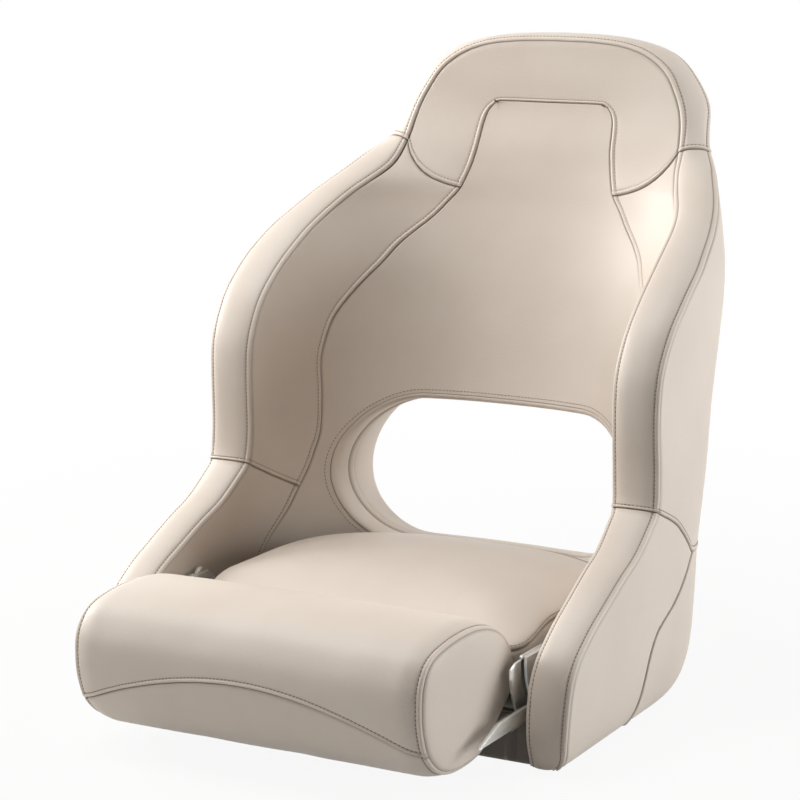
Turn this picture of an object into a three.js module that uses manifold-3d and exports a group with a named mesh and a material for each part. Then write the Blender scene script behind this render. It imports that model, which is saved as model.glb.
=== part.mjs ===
// Upholstered bucket helm seat with a flip-up front bolster.
// Millimetres. X is the width, -Y is the seat's front, +Z is up.
// The origin is the centre of the flat underside that a pedestal bolts to.

import * as THREE from "three";
import { mergeVertices } from "three/addons/utils/BufferGeometryUtils.js";
import Module from "manifold-3d";

const wasm = await Module();
wasm.setup();

// The bolster sets the width: its hinges stand beside it, and the arms outside them.
const bolsterHalfWidth = 198;
const bolsterFront = 313;
const bolsterRear = 119;
const bolsterTop = 137;
const bolsterBottom = 6;
const bolsterSwell = 7;
const bolsterSkin = 14;
const undersideSkin = 3;
const capBulge = 6;
const capThickness = 12;
const bolsterBoardWidth = 30;
const bolsterBoardThickness = 9;
const bolsterBoardEndGap = 17;
const boardMargin = 4;
const bolsterBoardHalfLength = bolsterHalfWidth - bolsterBoardEndGap;

// The bolster's hinge: two steel arms outside two fixed plates.
const bolsterSideGap = 13;
const pivotForward = 64;
const pivotHeight = 89;
const pivotRadius = 5;
const pivotHeadRadius = 9;
const pivotHeadHeight = 3;
const bushWall = 1.5;
const runningGap = 0.2;
const touchGap = 0.3;
const nutRadius = 8;
const nutHeight = 3.6;
const nutClearance = 1.1;
const hingePlateThickness = 3;
const hingeGap = 1;
const armPlate = 4;
const hingePlateFace = bolsterHalfWidth + capBulge + bolsterSideGap;
const armFaceNear = hingePlateFace + hingePlateThickness + hingeGap;
const armFaceFar = armFaceNear + armPlate;
const barTop = 34;
const barBottom = 20;
const barEndTop = 162;
const barEndBottom = 184;
const legWidth = 26;
const hubRadius = 16;
const tailReach = 34;
const tailWidth = 14;
const tailAngle = 57;
const stopReach = 30;
const stopRadius = 4;
const plateSweep = 71;
const plateRear = 20;
const plateTop = 94;
const plateBottom = 43;
const hemRadius = 2.6;
const flangeReach = 9.5;
const flangeRear = 84;
const footWidth = 15;
const tabReach = 70;
const tabThickness = 3;
const screwRadius = 2.5;
const screwHeadRadius = 5;
const screwHeadTopRadius = 3.5;
const screwHeadHeight = 2.5;
const screwLength = 11;

// The bucket: clear sizes first, then the walls that go round them. Every height is
// measured from a line that lies the depth of the foot above the underside.
const bucketHeight = 678;
const footDepth = 16;
const innerHalfWidth = armFaceFar + touchGap + nutHeight + nutClearance;
const innerBackReach = 385;
const armThickness = 48;
const backThickness = 45;
const frontStraight = 215;
const outerHalfWidth = innerHalfWidth + armThickness;
const backReach = innerBackReach + backThickness;

// Upholstery layers and seams.
const padThickness = 17;
const shellClearance = 5.6;
const seamGap = 0.9;
const seamDip = 3.5;
const pillowWidth = 15;
const rimSeat = 7;
const rimCrown = 8;
const rimClearance = 4.1;
const overrun = 20;

// The opening through the lower back.
const openingMargin = 50;
const openingHeightShare = 0.118;
const openingCentreShare = 0.2684;
const openingHalfWidth = innerHalfWidth - openingMargin;
const openingHalfHeight = openingHeightShare * bucketHeight;
const openingCentreHeight = openingCentreShare * bucketHeight;
const liningThickness = 14;
const liningRoll = 4;

// The base under the cushion.
const boardThickness = 31;
const boardFront = 134;
const floorThickness = 14;
const ribThickness = 10;
const ribSpacing = 120;
const seatBoardHeight = 58;
const seatBoardThickness = 10;

// The cushion.
const cushionSideGap = 19;
const cushionHalfWidth = hingePlateFace - cushionSideGap;
const cushionFront = 106;
const cushionTop = 125;
const cushionSeamHeight = 108;
const cushionBackGap = 9;
const cushionDrawIn = 6;

// Threaded inserts for the pedestal, in a square.
const insertSpacing = 178;
const insertRadius = 6;
const insertBore = 4;

const vinyl = { color: 0xd9cdbf, roughness: 0.55, metalness: 0 };
const vinylShade = { color: 0xcbbdad, roughness: 0.6, metalness: 0 };
const foam = { color: 0xe6dcc0, roughness: 0.95, metalness: 0 };
const ply = { color: 0xb58a58, roughness: 0.8, metalness: 0 };
const shellPlastic = { color: 0x6d6a66, roughness: 0.6, metalness: 0 };
const steel = { color: 0xb9bbbd, roughness: 0.35, metalness: 0.9 };
const bronze = { color: 0xa8875a, roughness: 0.4, metalness: 0.8 };

const seat = new THREE.Group();

function lerp(a, b, share) {
  return a + (b - a) * share;
}

function addPiece(name, geometry, finish) {
  geometry.translate(0, 0, footDepth);
  const mesh = new THREE.Mesh(geometry, new THREE.MeshStandardMaterial(finish));
  mesh.name = name;
  seat.add(mesh);
  return mesh;
}

// A smooth curve through the rows of a table, read by its first column.
function smoothTable(rows) {
  const slopes = rows.map((row, i) => {
    const before = rows[Math.max(i - 1, 0)];
    const after = rows[Math.min(i + 1, rows.length - 1)];
    return row.map((_, c) => (after[c] - before[c]) / (after[0] - before[0]));
  });
  return (key) => {
    let i = 0;
    while (i < rows.length - 2 && key > rows[i + 1][0]) i += 1;
    const span = rows[i + 1][0] - rows[i][0];
    const t = Math.min(Math.max((key - rows[i][0]) / span, 0), 1);
    return rows[i].map((start, c) => {
      const end = rows[i + 1][c];
      const rise = slopes[i][c] * span;
      const fall = slopes[i + 1][c] * span;
      return (
        start + t * rise + t * t * (3 * (end - start) - 2 * rise - fall) +
        t * t * t * (2 * (start - end) + rise + fall)
      );
    });
  };
}

// Plan sections of the bucket, from the base to the top of the headrest.
// Each row: height, half width, where the curved back begins, how far back it reaches.
const innerSectionShares = smoothTable([
  [0, 1, 0.156, 0.38],
  [0.04, 1, 0.158, 0.48],
  [0.1, 1, 0.16, 0.55],
  [0.177, 1, 0.161, 0.59],
  [0.339, 0.962, 0.161, 0.649],
  [0.442, 0.958, 0.161, 0.714],
  [0.516, 0.958, 0.171, 0.756],
  [0.596, 0.962, 0.213, 0.8],
  [0.642, 0.96, 0.286, 0.83],
  [0.711, 0.945, 0.468, 0.876],
  [0.748, 0.925, 0.558, 0.894],
  [0.774, 0.9, 0.696, 0.906],
  [0.813, 0.87, 0.831, 0.924],
  [0.876, 0.826, 0.904, 0.966],
  [0.945, 0.722, 0.951, 0.99],
  [1, 0.652, 0.977, 1],
]);

// The same for the outside, with the fullness of its corners in the last column.
const outerSectionShares = smoothTable([
  [-0.024, 0.92, 0.105, 0.46, 3.6],
  [-0.012, 0.955, 0.12, 0.525, 3.6],
  [0.012, 0.982, 0.132, 0.58, 3.6],
  [0.056, 0.996, 0.14, 0.623, 3.6],
  [0.14, 1, 0.144, 0.651, 3.6],
  [0.209, 1, 0.144, 0.67, 3.6],
  [0.329, 0.993, 0.144, 0.714, 4.1],
  [0.435, 0.988, 0.153, 0.763, 4.1],
  [0.53, 0.993, 0.186, 0.819, 3.85],
  [0.608, 1, 0.265, 0.851, 3.4],
  [0.661, 0.99, 0.384, 0.874, 2.8],
  [0.721, 0.935, 0.512, 0.902, 2.5],
  [0.746, 0.899, 0.581, 0.914, 2.4],
  [0.771, 0.856, 0.651, 0.926, 2.4],
  [0.801, 0.813, 0.721, 0.942, 2.4],
  [0.848, 0.737, 0.842, 0.956, 2.4],
  [0.891, 0.705, 0.895, 0.972, 2.4],
  [0.945, 0.619, 0.921, 0.986, 2.4],
  [1, 0.54, 0.953, 1, 2.4],
]);
const innerFullness = 2.5;

function innerSection(z) {
  const [, half, centre, back] = innerSectionShares(z / bucketHeight);
  return {
    half: half * innerHalfWidth,
    centre: centre * innerBackReach,
    depth: (back - centre) * innerBackReach,
    fullness: innerFullness,
  };
}

function outerSection(z) {
  const [, half, centre, back, fullness] = outerSectionShares(z / bucketHeight);
  return {
    half: half * outerHalfWidth,
    centre: centre * backReach,
    depth: (back - centre) * backReach,
    fullness,
  };
}

// A section is followed by its wrap: 0 at the middle of the back, 1 where the side
// turns straight, and past 1 along the straight side towards the front.
function sectionPoint(section, wrap, z) {
  const side = Math.sign(wrap);
  const turn = Math.min(Math.abs(wrap), 1) * (Math.PI / 2);
  const [across, along] = [Math.sin(turn), Math.max(Math.cos(turn), 0)];
  const reach = (across ** section.fullness + along ** section.fullness) ** (-1 / section.fullness);
  const ahead = Math.max(Math.abs(wrap) - 1, 0) * frontStraight;
  const x = side * section.half * across * reach;
  return new THREE.Vector3(x, section.centre + section.depth * along * reach - ahead, z);
}

function wrapAtDepth(section, y) {
  if (y <= section.centre) return 1 + (section.centre - y) / frontStraight;
  const along = Math.min((y - section.centre) / section.depth, 1);
  const across = (1 - along ** section.fullness) ** (1 / section.fullness);
  return Math.atan2(across, along) / (Math.PI / 2);
}

// A point in the wall: layer 0 is the inner face and 1 is the outer face.
function wallPoint(wrap, z, layer) {
  const inside = sectionPoint(innerSection(z), wrap, z);
  const outside = sectionPoint(outerSection(z), wrap, z);
  return inside.lerp(outside, layer);
}

// The rim seen from the side, from the foot of the arm to the wing's top: height, depth.
const armProfileShares = [
  [-0.018, -0.336],
  [0.03, -0.361],
  [0.091, -0.356],
  [0.136, -0.321],
  [0.173, -0.24],
  [0.2, -0.153],
  [0.226, -0.065],
  [0.249, 0.023],
  [0.28, 0.098],
  [0.304, 0.14],
  [0.351, 0.151],
  [0.406, 0.149],
  [0.46, 0.147],
  [0.513, 0.158],
  [0.566, 0.205],
  [0.609, 0.277],
  [0.645, 0.36],
  [0.676, 0.444],
  [0.702, 0.528],
  [0.729, 0.609],
  [0.754, 0.684],
  [0.779, 0.749],
];

// The rim round the headrest: height, inner wrap, outer wrap.
const headrestRimShares = [
  [0.813, 0.603, 0.708],
  [0.86, 0.609, 0.762],
  [0.903, 0.608, 0.753],
  [0.938, 0.585, 0.715],
  [0.965, 0.488, 0.592],
  [0.981, 0.362, 0.391],
  [0.988, 0.207, 0.208],
  [0.99, 0, 0],
];

const rimStations = [
  ...armProfileShares.map(([height, depth]) => {
    const z = height * bucketHeight;
    const y = depth * backReach;
    return [z, wrapAtDepth(innerSection(z), y), wrapAtDepth(outerSection(z), y)];
  }),
  ...headrestRimShares.map(([height, inner, outer]) => [height * bucketHeight, inner, outer]),
];
const crossSeamIndex = 9;
const junctionStation = armProfileShares.length;
const topStation = rimStations.length - 1;
const rimCurve = smoothTable(rimStations.map((row, i) => [i, ...row]));

// Where the rim is at a station, as height and wrap, for a layer of the wall.
function rimAt(station, layer) {
  const [, z, inner, outer] = rimCurve(station);
  return { z, wrap: lerp(inner, outer, layer) };
}

// The same place moved back from the rim along the layer, clear of what seats there.
function behindRim(station, layer, distance) {
  const stepShare = 0.01;
  const { z, wrap } = rimAt(station, layer);
  const here = wallPoint(wrap, z, layer);
  const lower = rimAt(Math.max(station - stepShare, 0), layer);
  const upper = rimAt(Math.min(station + stepShare, topStation), layer);
  const along = wallPoint(upper.wrap, upper.z, layer).sub(wallPoint(lower.wrap, lower.z, layer));
  const rise = stepShare * armThickness;
  const byWrap = wallPoint(wrap + stepShare, z, layer).sub(wallPoint(wrap - stepShare, z, layer)).divideScalar(2 * stepShare);
  const byHeight = wallPoint(wrap, z + rise, layer).sub(here).divideScalar(rise);
  const inward = byWrap.clone().cross(byHeight).cross(along).normalize().multiplyScalar(distance);
  const [aa, ab, bb] = [byWrap.dot(byWrap), byWrap.dot(byHeight), byHeight.dot(byHeight)];
  const [ra, rb] = [byWrap.dot(inward), byHeight.dot(inward)];
  const scale = aa * bb - ab * ab;
  return {
    wrap: wrap + (ra * bb - rb * ab) / scale,
    z: z + (rb * aa - ra * ab) / scale,
  };
}
const rimEdge = (station, layer) => behindRim(station, layer, rimSeat + rimClearance);
const shellEdge = (station, layer) => behindRim(station, layer, rimSeat + shellClearance);

// The seam of the plain centre panel: wrap, height.
const insertSeamShares = [
  [0.98, 0.09],
  [0.85, 0.15],
  [0.775, 0.182],
  [0.728, 0.207],
  [0.69, 0.242],
  [0.66, 0.27],
  [0.642, 0.3],
  [0.626, 0.335],
  [0.635, 0.394],
  [0.653, 0.453],
  [0.64, 0.498],
  [0.613, 0.533],
  [0.548, 0.575],
  [0.484, 0.612],
  [0.444, 0.642],
  [0.403, 0.664],
  [0.359, 0.686],
  [0.321, 0.711],
  [0.286, 0.737],
  [0.272, 0.771],
  [0.266, 0.808],
  [0.266, 0.845],
  [0.258, 0.868],
  [0.232, 0.882],
  [0.197, 0.885],
  [0, 0.885],
];
const insertCurve = smoothTable(insertSeamShares.map((row, i) => [i, ...row]));
const insertCrossIndex = 4;
const insertCornerIndex = 18;
const insertTopIndex = 23;
const insertEndStation = insertSeamShares.length - 1;

function insertAt(station) {
  const [, wrap, height] = insertCurve(station);
  return { z: height * bucketHeight, wrap };
}

function closedSolid(points, triangles) {
  const flat = points.flatMap((point) => [point.x, point.y, point.z]);
  const geometry = new THREE.BufferGeometry();
  geometry.setAttribute("position", new THREE.Float32BufferAttribute(flat, 3));
  let volume = 0;
  for (const [a, b, c] of triangles) {
    volume += points[a].dot(new THREE.Vector3().crossVectors(points[b], points[c]));
  }
  const outward = volume > 0 ? triangles : triangles.map(([a, b, c]) => [a, c, b]);
  geometry.setIndex(outward.flat());
  return geometry;
}

// A pad with a front face (layer 0), a back face (layer 1) and edges all round.
// Its quads are split along the clearly shorter diagonal.
const tieShare = 0.97;
function padSolid(columns, rows, place) {
  const points = [];
  for (const layer of [0, 1]) {
    for (const v of rows) {
      for (const u of columns) points.push(place(u, v, layer));
    }
  }
  const across = columns.length;
  const sheet = across * rows.length;
  const triangles = [];
  const quad = (a, b, c, d) => {
    const shorter = points[a].distanceTo(points[c]) < points[b].distanceTo(points[d]) * tieShare;
    triangles.push(...(shorter ? [[a, b, c], [a, c, d]] : [[a, b, d], [b, c, d]]));
  };
  for (let j = 0; j < rows.length - 1; j += 1) {
    for (let i = 0; i < across - 1; i += 1) {
      const at = j * across + i;
      quad(at, at + 1, at + across + 1, at + across);
      quad(sheet + at + across, sheet + at + across + 1, sheet + at + 1, sheet + at);
    }
  }
  for (let i = 0; i < across - 1; i += 1) {
    const last = sheet - across + i;
    quad(sheet + i, sheet + i + 1, i + 1, i);
    quad(last, last + 1, sheet + last + 1, sheet + last);
  }
  for (let j = 0; j < rows.length - 1; j += 1) {
    const left = j * across;
    const right = left + across - 1;
    quad(left, left + across, sheet + left + across, sheet + left);
    quad(sheet + right, sheet + right + across, right + across, right);
  }
  return closedSolid(points, triangles);
}

// Rings of points one above another, closed by a flat fan at both ends,
// or joined end to start where the stack goes round.
function ringSolid(rings, goesRound = false) {
  const count = rings[0].length;
  const points = rings.flat();
  const triangles = [];
  const stacks = goesRound ? rings.length : rings.length - 1;
  for (let j = 0; j < stacks; j += 1) {
    const low = j * count;
    const high = ((j + 1) % rings.length) * count;
    for (let i = 0; i < count; i += 1) {
      const next = (i + 1) % count;
      triangles.push([low + i, low + next, high + next], [low + i, high + next, high + i]);
    }
  }
  if (!goesRound) {
    const middle = (ring) =>
      ring.reduce((sum, point) => sum.add(point), new THREE.Vector3()).divideScalar(count);
    const top = (rings.length - 1) * count;
    points.push(middle(rings[0]), middle(rings[rings.length - 1]));
    for (let i = 0; i < count; i += 1) {
      const next = (i + 1) % count;
      triangles.push([points.length - 2, next, i], [points.length - 1, top + i, top + next]);
    }
  }
  return closedSolid(points, triangles);
}

function toManifold(geometry) {
  const bare = geometry.clone();
  bare.deleteAttribute("normal");
  bare.deleteAttribute("uv");
  const merged = mergeVertices(bare);
  return new wasm.Manifold(
    new wasm.Mesh({
      numProp: 3,
      vertProperties: new Float32Array(merged.attributes.position.array),
      triVerts: new Uint32Array(merged.index.array),
    }),
  );
}

function fromManifold(solid) {
  const mesh = solid.getMesh();
  const geometry = new THREE.BufferGeometry();
  geometry.setAttribute("position", new THREE.BufferAttribute(mesh.vertProperties, 3));
  geometry.setIndex(new THREE.BufferAttribute(mesh.triVerts, 1));
  return geometry;
}

function joined(...parts) {
  return fromManifold(parts.map(toManifold).reduce((sum, part) => sum.add(part)));
}

function cut(body, ...tools) {
  return fromManifold(tools.map(toManifold).reduce((rest, tool) => rest.subtract(tool), toManifold(body)));
}

// Stops along an edge: fine at both ends for the pillowed border, even between.
function padStops(count) {
  const borderShares = [0, 0.09];
  const inner = count - 2 * borderShares.length;
  const even = [];
  for (let i = 1; i <= inner; i += 1) {
    even.push(lerp(borderShares[1], 1 - borderShares[1], i / (inner + 1)));
  }
  return [...borderShares, ...even, ...borderShares.map((share) => 1 - share).reverse()];
}

function evenStops(count) {
  return Array.from({ length: count }, (_, i) => i / (count - 1));
}

// How far the cover dips towards a seam at a given distance from it.
function dipAt(distance) {
  const share = Math.max(1 - distance / pillowWidth, 0);
  return seamDip * share * share;
}

// A pad sewn into the wall. Its four edge seams are given as height and wrap: left and
// right run along v, and start and end, where they aren't straight, run along u.
// The insets are the gaps left along the four edges.
function wallPad({ left, right, start, end, columns, rows, face, back, insets }) {
  const between = (a, b, share) => ({ wrap: lerp(a.wrap, b.wrap, share), z: lerp(a.z, b.z, share) });
  const spot = (u, v, depth) => {
    const here = between(left(v, depth), right(v, depth), u);
    for (const [edge, at, weight] of [
      [start, 0, 1 - v],
      [end, 1, v],
    ]) {
      if (!edge) continue;
      const straight = between(left(at, depth), right(at, depth), u);
      const bent = edge(u, depth);
      here.wrap += (bent.wrap - straight.wrap) * weight;
      here.z += (bent.z - straight.z) * weight;
    }
    return here;
  };
  const place = (u, v, layer) => {
    const depth = layer === 0 ? face : back;
    const point = (us, vs, towards) => {
      const { wrap, z } = spot(us, vs, depth);
      return wallPoint(wrap, z, towards);
    };
    const width = point(0, v, depth).distanceTo(point(0.5, v, depth)) * 2;
    const length = point(u, 0, depth).distanceTo(point(u, 0.5, depth)) * 2;
    const us = lerp(insets.left / width, 1 - insets.right / width, u);
    const vs = lerp(insets.start / length, 1 - insets.end / length, v);
    const here = point(us, vs, depth);
    if (layer === 1 || insets.plain) return here;
    const edge = Math.min(u, 1 - u) * width;
    const far = Math.min(v, 1 - v) * length;
    const deeper = point(us, vs, back);
    return here.lerp(deeper, Math.max(dipAt(edge), dipAt(far)) / here.distanceTo(deeper));
  };
  return padSolid(columns, rows, place);
}

const innerLayer = padThickness / armThickness;
const outerLayer = 1 - innerLayer;
const layerGap = shellClearance / armThickness;
const mirror = (spot, side) => ({ z: spot.z, wrap: spot.wrap * side });

const sides = [
  ["right", 1],
  ["left", -1],
];

function addPair(name, finish, make) {
  for (const [label, side] of sides) addPiece(`${name}_${label}`, make(side), finish);
}

function cylinderX(radius, from, to, y, z, facets = 20) {
  const cylinder = new THREE.CylinderGeometry(radius, radius, Math.abs(to - from), facets);
  cylinder.rotateZ(Math.PI / 2);
  cylinder.translate((from + to) / 2, y, z);
  return cylinder;
}

function cylinderZ(radius, from, to, x, y, facets = 16) {
  const cylinder = new THREE.CylinderGeometry(radius, radius, Math.abs(to - from), facets);
  cylinder.rotateX(Math.PI / 2);
  cylinder.translate(x, y, (from + to) / 2);
  return cylinder;
}

// A box from its X, Y and Z ranges, each given in either order.
function boxOver(...ranges) {
  const sizes = ranges.map(([a, b]) => Math.abs(b - a));
  const middles = ranges.map(([a, b]) => (a + b) / 2);
  const box = new THREE.BoxGeometry(...sizes);
  box.translate(...middles);
  return box;
}

// A flat outline of [x, y] points, extruded up from one height to another.
function slab(outline, from, to) {
  const shape = new THREE.Shape(outline.map(([x, y]) => new THREE.Vector2(x, y)));
  const block = new THREE.ExtrudeGeometry(shape, { depth: to - from, bevelEnabled: false });
  block.translate(0, 0, from);
  return block;
}

// An outline of [y, z] points, extruded across the width.
function sidePlate(outline, from, to) {
  const block = slab(outline, 0, Math.abs(to - from));
  block.applyMatrix4(new THREE.Matrix4().set(0, 0, 1, Math.min(from, to), 1, 0, 0, 0, 0, 1, 0, 0, 0, 0, 0, 1));
  return block;
}

// The opening is a stadium. Its points start at the right end of the lower straight.
const openingStraight = openingHalfWidth - openingHalfHeight;
function openingOutline(grow) {
  const radius = openingHalfHeight + grow;
  const turns = 10;
  const steps = 5;
  const points = [];
  for (const side of [1, -1]) {
    for (let i = 0; i <= turns; i += 1) {
      const angle = side * (-Math.PI / 2) + (i / turns) * Math.PI;
      points.push([side * openingStraight + radius * Math.cos(angle), radius * Math.sin(angle)]);
    }
    for (let i = 1; i < steps; i += 1) {
      points.push([side * lerp(openingStraight, -openingStraight, i / steps), side * radius]);
    }
  }
  return points.map(([x, z]) => [x, openingCentreHeight + z]);
}

function openingPrism(grow, from, to) {
  const prism = slab(openingOutline(grow), 0, to - from);
  prism.applyMatrix4(new THREE.Matrix4().set(1, 0, 0, 0, 0, 0, -1, to, 0, 1, 0, 0, 0, 0, 0, 1));
  return prism;
}
const openingCut = openingPrism(liningThickness + touchGap, 0, backReach + overrun);

// The plan of the bucket at a height and layer, closed straight across the front.
function planOutline(z, layer, front, count) {
  const points = evenStops(count).map((share) => {
    const point = wallPoint(lerp(-1, 1, share), z, layer);
    return [point.x, point.y];
  });
  points.push([points[count - 1][0], front], [points[0][0], front]);
  return points.reverse();
}

// The moulded bucket that everything is upholstered on, with its floor and ribs.
const floorBottom = boardThickness - footDepth + touchGap;
const floorTop = floorBottom + floorThickness;
const shellFootShare = 0.95;
const wallMiddleShare = 0.5;

function makeFrameShell() {
  const station = (v) => lerp(shellFootShare, topStation - 1, v);
  const wall = wallPad({
    left: (v, depth) => mirror(shellEdge(station(v), depth), -1),
    right: (v, depth) => shellEdge(station(v), depth),
    columns: evenStops(21),
    rows: evenStops(18),
    face: innerLayer + layerGap,
    back: outerLayer - layerGap,
    insets: { left: 0, right: 0, start: 0, end: 0, plain: true },
  });
  const floor = slab(planOutline(floorBottom, wallMiddleShare, -cushionFront, 21), floorBottom, floorTop);
  const ribRear = innerSection(floorTop).centre + ribSpacing / 2;
  const ribs = [-1, 0, 1].map((place) => {
    const x = place * ribSpacing;
    return boxOver(
      [x - ribThickness / 2, x + ribThickness / 2],
      [-cushionFront, ribRear],
      [floorTop - touchGap, seatBoardHeight - touchGap],
    );
  });
  const slots = sides.map(([, side]) =>
    boxOver(
      [side * (armFaceNear - hingeGap / 2), side * (armFaceFar + hingeGap)],
      [-cushionFront - overrun, -pivotForward + legWidth],
      [0, barTop],
    ),
  );
  return cut(joined(wall, floor, ...ribs), openingCut, ...slots);
}
addPiece("frame_shell", makeFrameShell(), shellPlastic);

// The plywood underside, with a threaded insert near each corner for the pedestal.
const insertPlaces = [-1, 1].flatMap((a) => [-1, 1].map((b) => [(a * insertSpacing) / 2, (b * insertSpacing) / 2]));
const insertHoles = insertPlaces.map(([x, y]) => cylinderZ(insertRadius + touchGap, -overrun, overrun, x, y));
const boardOutline = planOutline(-footDepth, wallMiddleShare, -boardFront, 21);
addPiece("base_board", cut(slab(boardOutline, -footDepth, boardThickness - footDepth), ...insertHoles), ply);
insertPlaces.forEach(([x, y], index) => {
  const barrel = cylinderZ(insertRadius, touchGap - footDepth, boardThickness - footDepth, x, y);
  const bore = cylinderZ(insertBore, -overrun, overrun, x, y, 12);
  addPiece(`pedestal_insert_${index + 1}`, cut(barrel, bore), steel);
});

// The cushion on its board: straight at the front and round at the back.
const cushionFullness = 9;
function cushionOutline(z, grow, count) {
  const section = innerSection(z);
  const rearDepth = section.depth - cushionBackGap;
  const frontDepth = section.centre + cushionFront;
  return evenStops(count + 1)
    .slice(1)
    .map((share) => {
      const angle = share * 2 * Math.PI;
      const ahead = Math.sin(angle) < 0;
      const power = 2 / (ahead ? cushionFullness : innerFullness);
      const depth = (ahead ? frontDepth : rearDepth) + grow;
      const across = Math.sign(Math.cos(angle)) * Math.abs(Math.cos(angle)) ** power;
      const along = Math.sign(Math.sin(angle)) * Math.abs(Math.sin(angle)) ** power;
      return [(cushionHalfWidth + grow) * across, section.centre + depth * along];
    });
}
const seatBoardTop = seatBoardHeight + seatBoardThickness;
addPiece("seat_board", slab(cushionOutline(seatBoardTop, -cushionDrawIn, 36), seatBoardHeight, seatBoardTop), ply);

// Its sides are drawn in below the seam of the top panel, which is crowned.
// Each row: how far up the side, and how far out of the seam's outline.
const cushionSideShares = [
  [0, -1],
  [0.3, -0.35],
  [0.7, 0],
  [0.9, -0.1],
  [1, -0.5],
];
// Each row: how far in towards the middle, and how far up the crown.
const cushionCrownShares = [
  [0.02, 0.13],
  [0.06, 0.36],
  [0.14, 0.6],
  [0.28, 0.8],
  [0.48, 0.93],
  [0.75, 1],
];
function makeCushion() {
  const bottom = seatBoardTop + touchGap;
  const count = 26;
  const side = cushionSideShares.map(([rise, out]) => {
    const z = lerp(bottom, cushionSeamHeight, rise);
    return cushionOutline(z, out * cushionDrawIn, count).map(([x, y]) => new THREE.Vector3(x, y, z));
  });
  const seam = cushionOutline(cushionSeamHeight, 0, count);
  const section = innerSection(cushionSeamHeight);
  const middle = (section.centre + section.depth - cushionFront) / 2;
  const crown = cushionCrownShares.map(([inward, rise]) =>
    seam.map(([x, y]) => {
      const z = lerp(cushionSeamHeight, cushionTop, rise);
      return new THREE.Vector3(lerp(x, 0, inward), lerp(y, middle, inward), z);
    }),
  );
  return ringSolid([...side, ...crown]);
}
addPiece("seat_cushion", makeCushion(), vinyl);

// The upholstered panels inside the bucket.
const insertFootShare = 0.35;
const armFootIndex = 1;
const sewn = { left: seamGap, right: seamGap, start: seamGap, end: seamGap };
const sewnAtRim = { ...sewn, right: 0 };
const bentSeam = 2 * seamGap;

const insertSeam = (v) => insertAt(lerp(insertFootShare, insertTopIndex, v ** 1.2));
addPiece(
  "back_insert",
  cut(
    wallPad({
      left: (v) => mirror(insertSeam(v), -1),
      right: insertSeam,
      columns: padStops(11),
      rows: padStops(18),
      face: 0,
      back: innerLayer,
      insets: { left: bentSeam, right: bentSeam, start: bentSeam, end: bentSeam },
    }),
    openingCut,
  ),
  vinyl,
);

// The headrest's lower seam sags from the centre panel's corner to the rim.
const junctionSag = 9;
function junctionSeam(u, depth, side) {
  const corner = insertAt(insertCornerIndex);
  const rim = rimEdge(junctionStation, depth);
  const sag = junctionSag * 4 * u * (1 - u);
  return mirror({ wrap: lerp(corner.wrap, rim.wrap, u), z: lerp(corner.z, rim.z, u) - sag }, side);
}

function innerPanel(side, seamSpan, rimSpan, columns, rows, end) {
  return wallPad({
    end,
    left: (v) => mirror(insertAt(lerp(...seamSpan, v)), side),
    right: (v, depth) => mirror(rimEdge(lerp(...rimSpan, v), depth), side),
    columns: padStops(columns),
    rows: padStops(rows),
    face: 0,
    back: innerLayer,
    insets: { ...sewnAtRim, left: bentSeam, end: touchGap },
  });
}
addPair("wing_inner", vinyl, (side) =>
  innerPanel(
    side,
    [insertCrossIndex, insertCornerIndex],
    [crossSeamIndex, junctionStation],
    6,
    12,
    (u, depth) => junctionSeam(u, depth, side),
  ),
);
addPair("arm_inner", vinyl, (side) =>
  innerPanel(side, [insertFootShare, insertCrossIndex], [armFootIndex, crossSeamIndex], 6, 8),
);

// A place along an arch that runs from the right side over the middle to the left.
function archSpot(share, spotAt) {
  const side = share < 0.5 ? 1 : -1;
  return mirror(spotAt(Math.abs(2 * share - 1)), side);
}
addPiece(
  "headrest_pad",
  wallPad({
    left: (v) => archSpot(v, (share) => insertAt(lerp(insertEndStation, insertCornerIndex, share))),
    right: (v, depth) => archSpot(v, (share) => rimEdge(lerp(topStation, junctionStation, share), depth)),
    start: (u, depth) => junctionSeam(u, depth, 1),
    end: (u, depth) => junctionSeam(u, depth, -1),
    columns: padStops(6),
    rows: padStops(19),
    face: 0,
    back: innerLayer,
    insets: sewnAtRim,
  }),
  vinyl,
);

// The seams of the outside: wrap, height.
const outerCrossShares = [
  [1.01, 0.304],
  [0.89, 0.275],
  [0.824, 0.25],
  [0.77, 0.225],
  [0.735, 0.21],
  [0.654, 0.204],
  [0.582, 0.203],
  [0.529, 0.203],
  [0.367, 0.203],
  [0, 0.203],
];
const outerRearShares = [
  [0.735, 0.21],
  [0.792, 0.178],
  [0.874, 0.147],
  [1.075, 0.091],
  [1.2, -0.018],
];
const cornerSeamShares = [
  [0.529, 0.203],
  [0.517, 0.3],
  [0.512, 0.4],
  [0.521, 0.5],
  [0.54, 0.6],
  [0.558, 0.68],
  [0.575, 0.745],
  [0.584, 0.8],
];
const seamThrough = (rows) => {
  const curve = smoothTable(rows.map((row, i) => [i, ...row]));
  return (station) => {
    const [, wrap, height] = curve(station);
    return { wrap, z: height * bucketHeight };
  };
};
const outerCross = seamThrough(outerCrossShares);
const outerRear = seamThrough(outerRearShares);
const cornerSeam = seamThrough(cornerSeamShares);
const crossMiddleIndex = outerCrossShares.length - 1;
const crossCornerIndex = 7;
const crossTeeIndex = 4;
const rearEnd = outerRearShares.length - 1;
const cornerEnd = cornerSeamShares.length - 1;
const footIndex = 0;
const outer = { face: 1, back: outerLayer };

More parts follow.
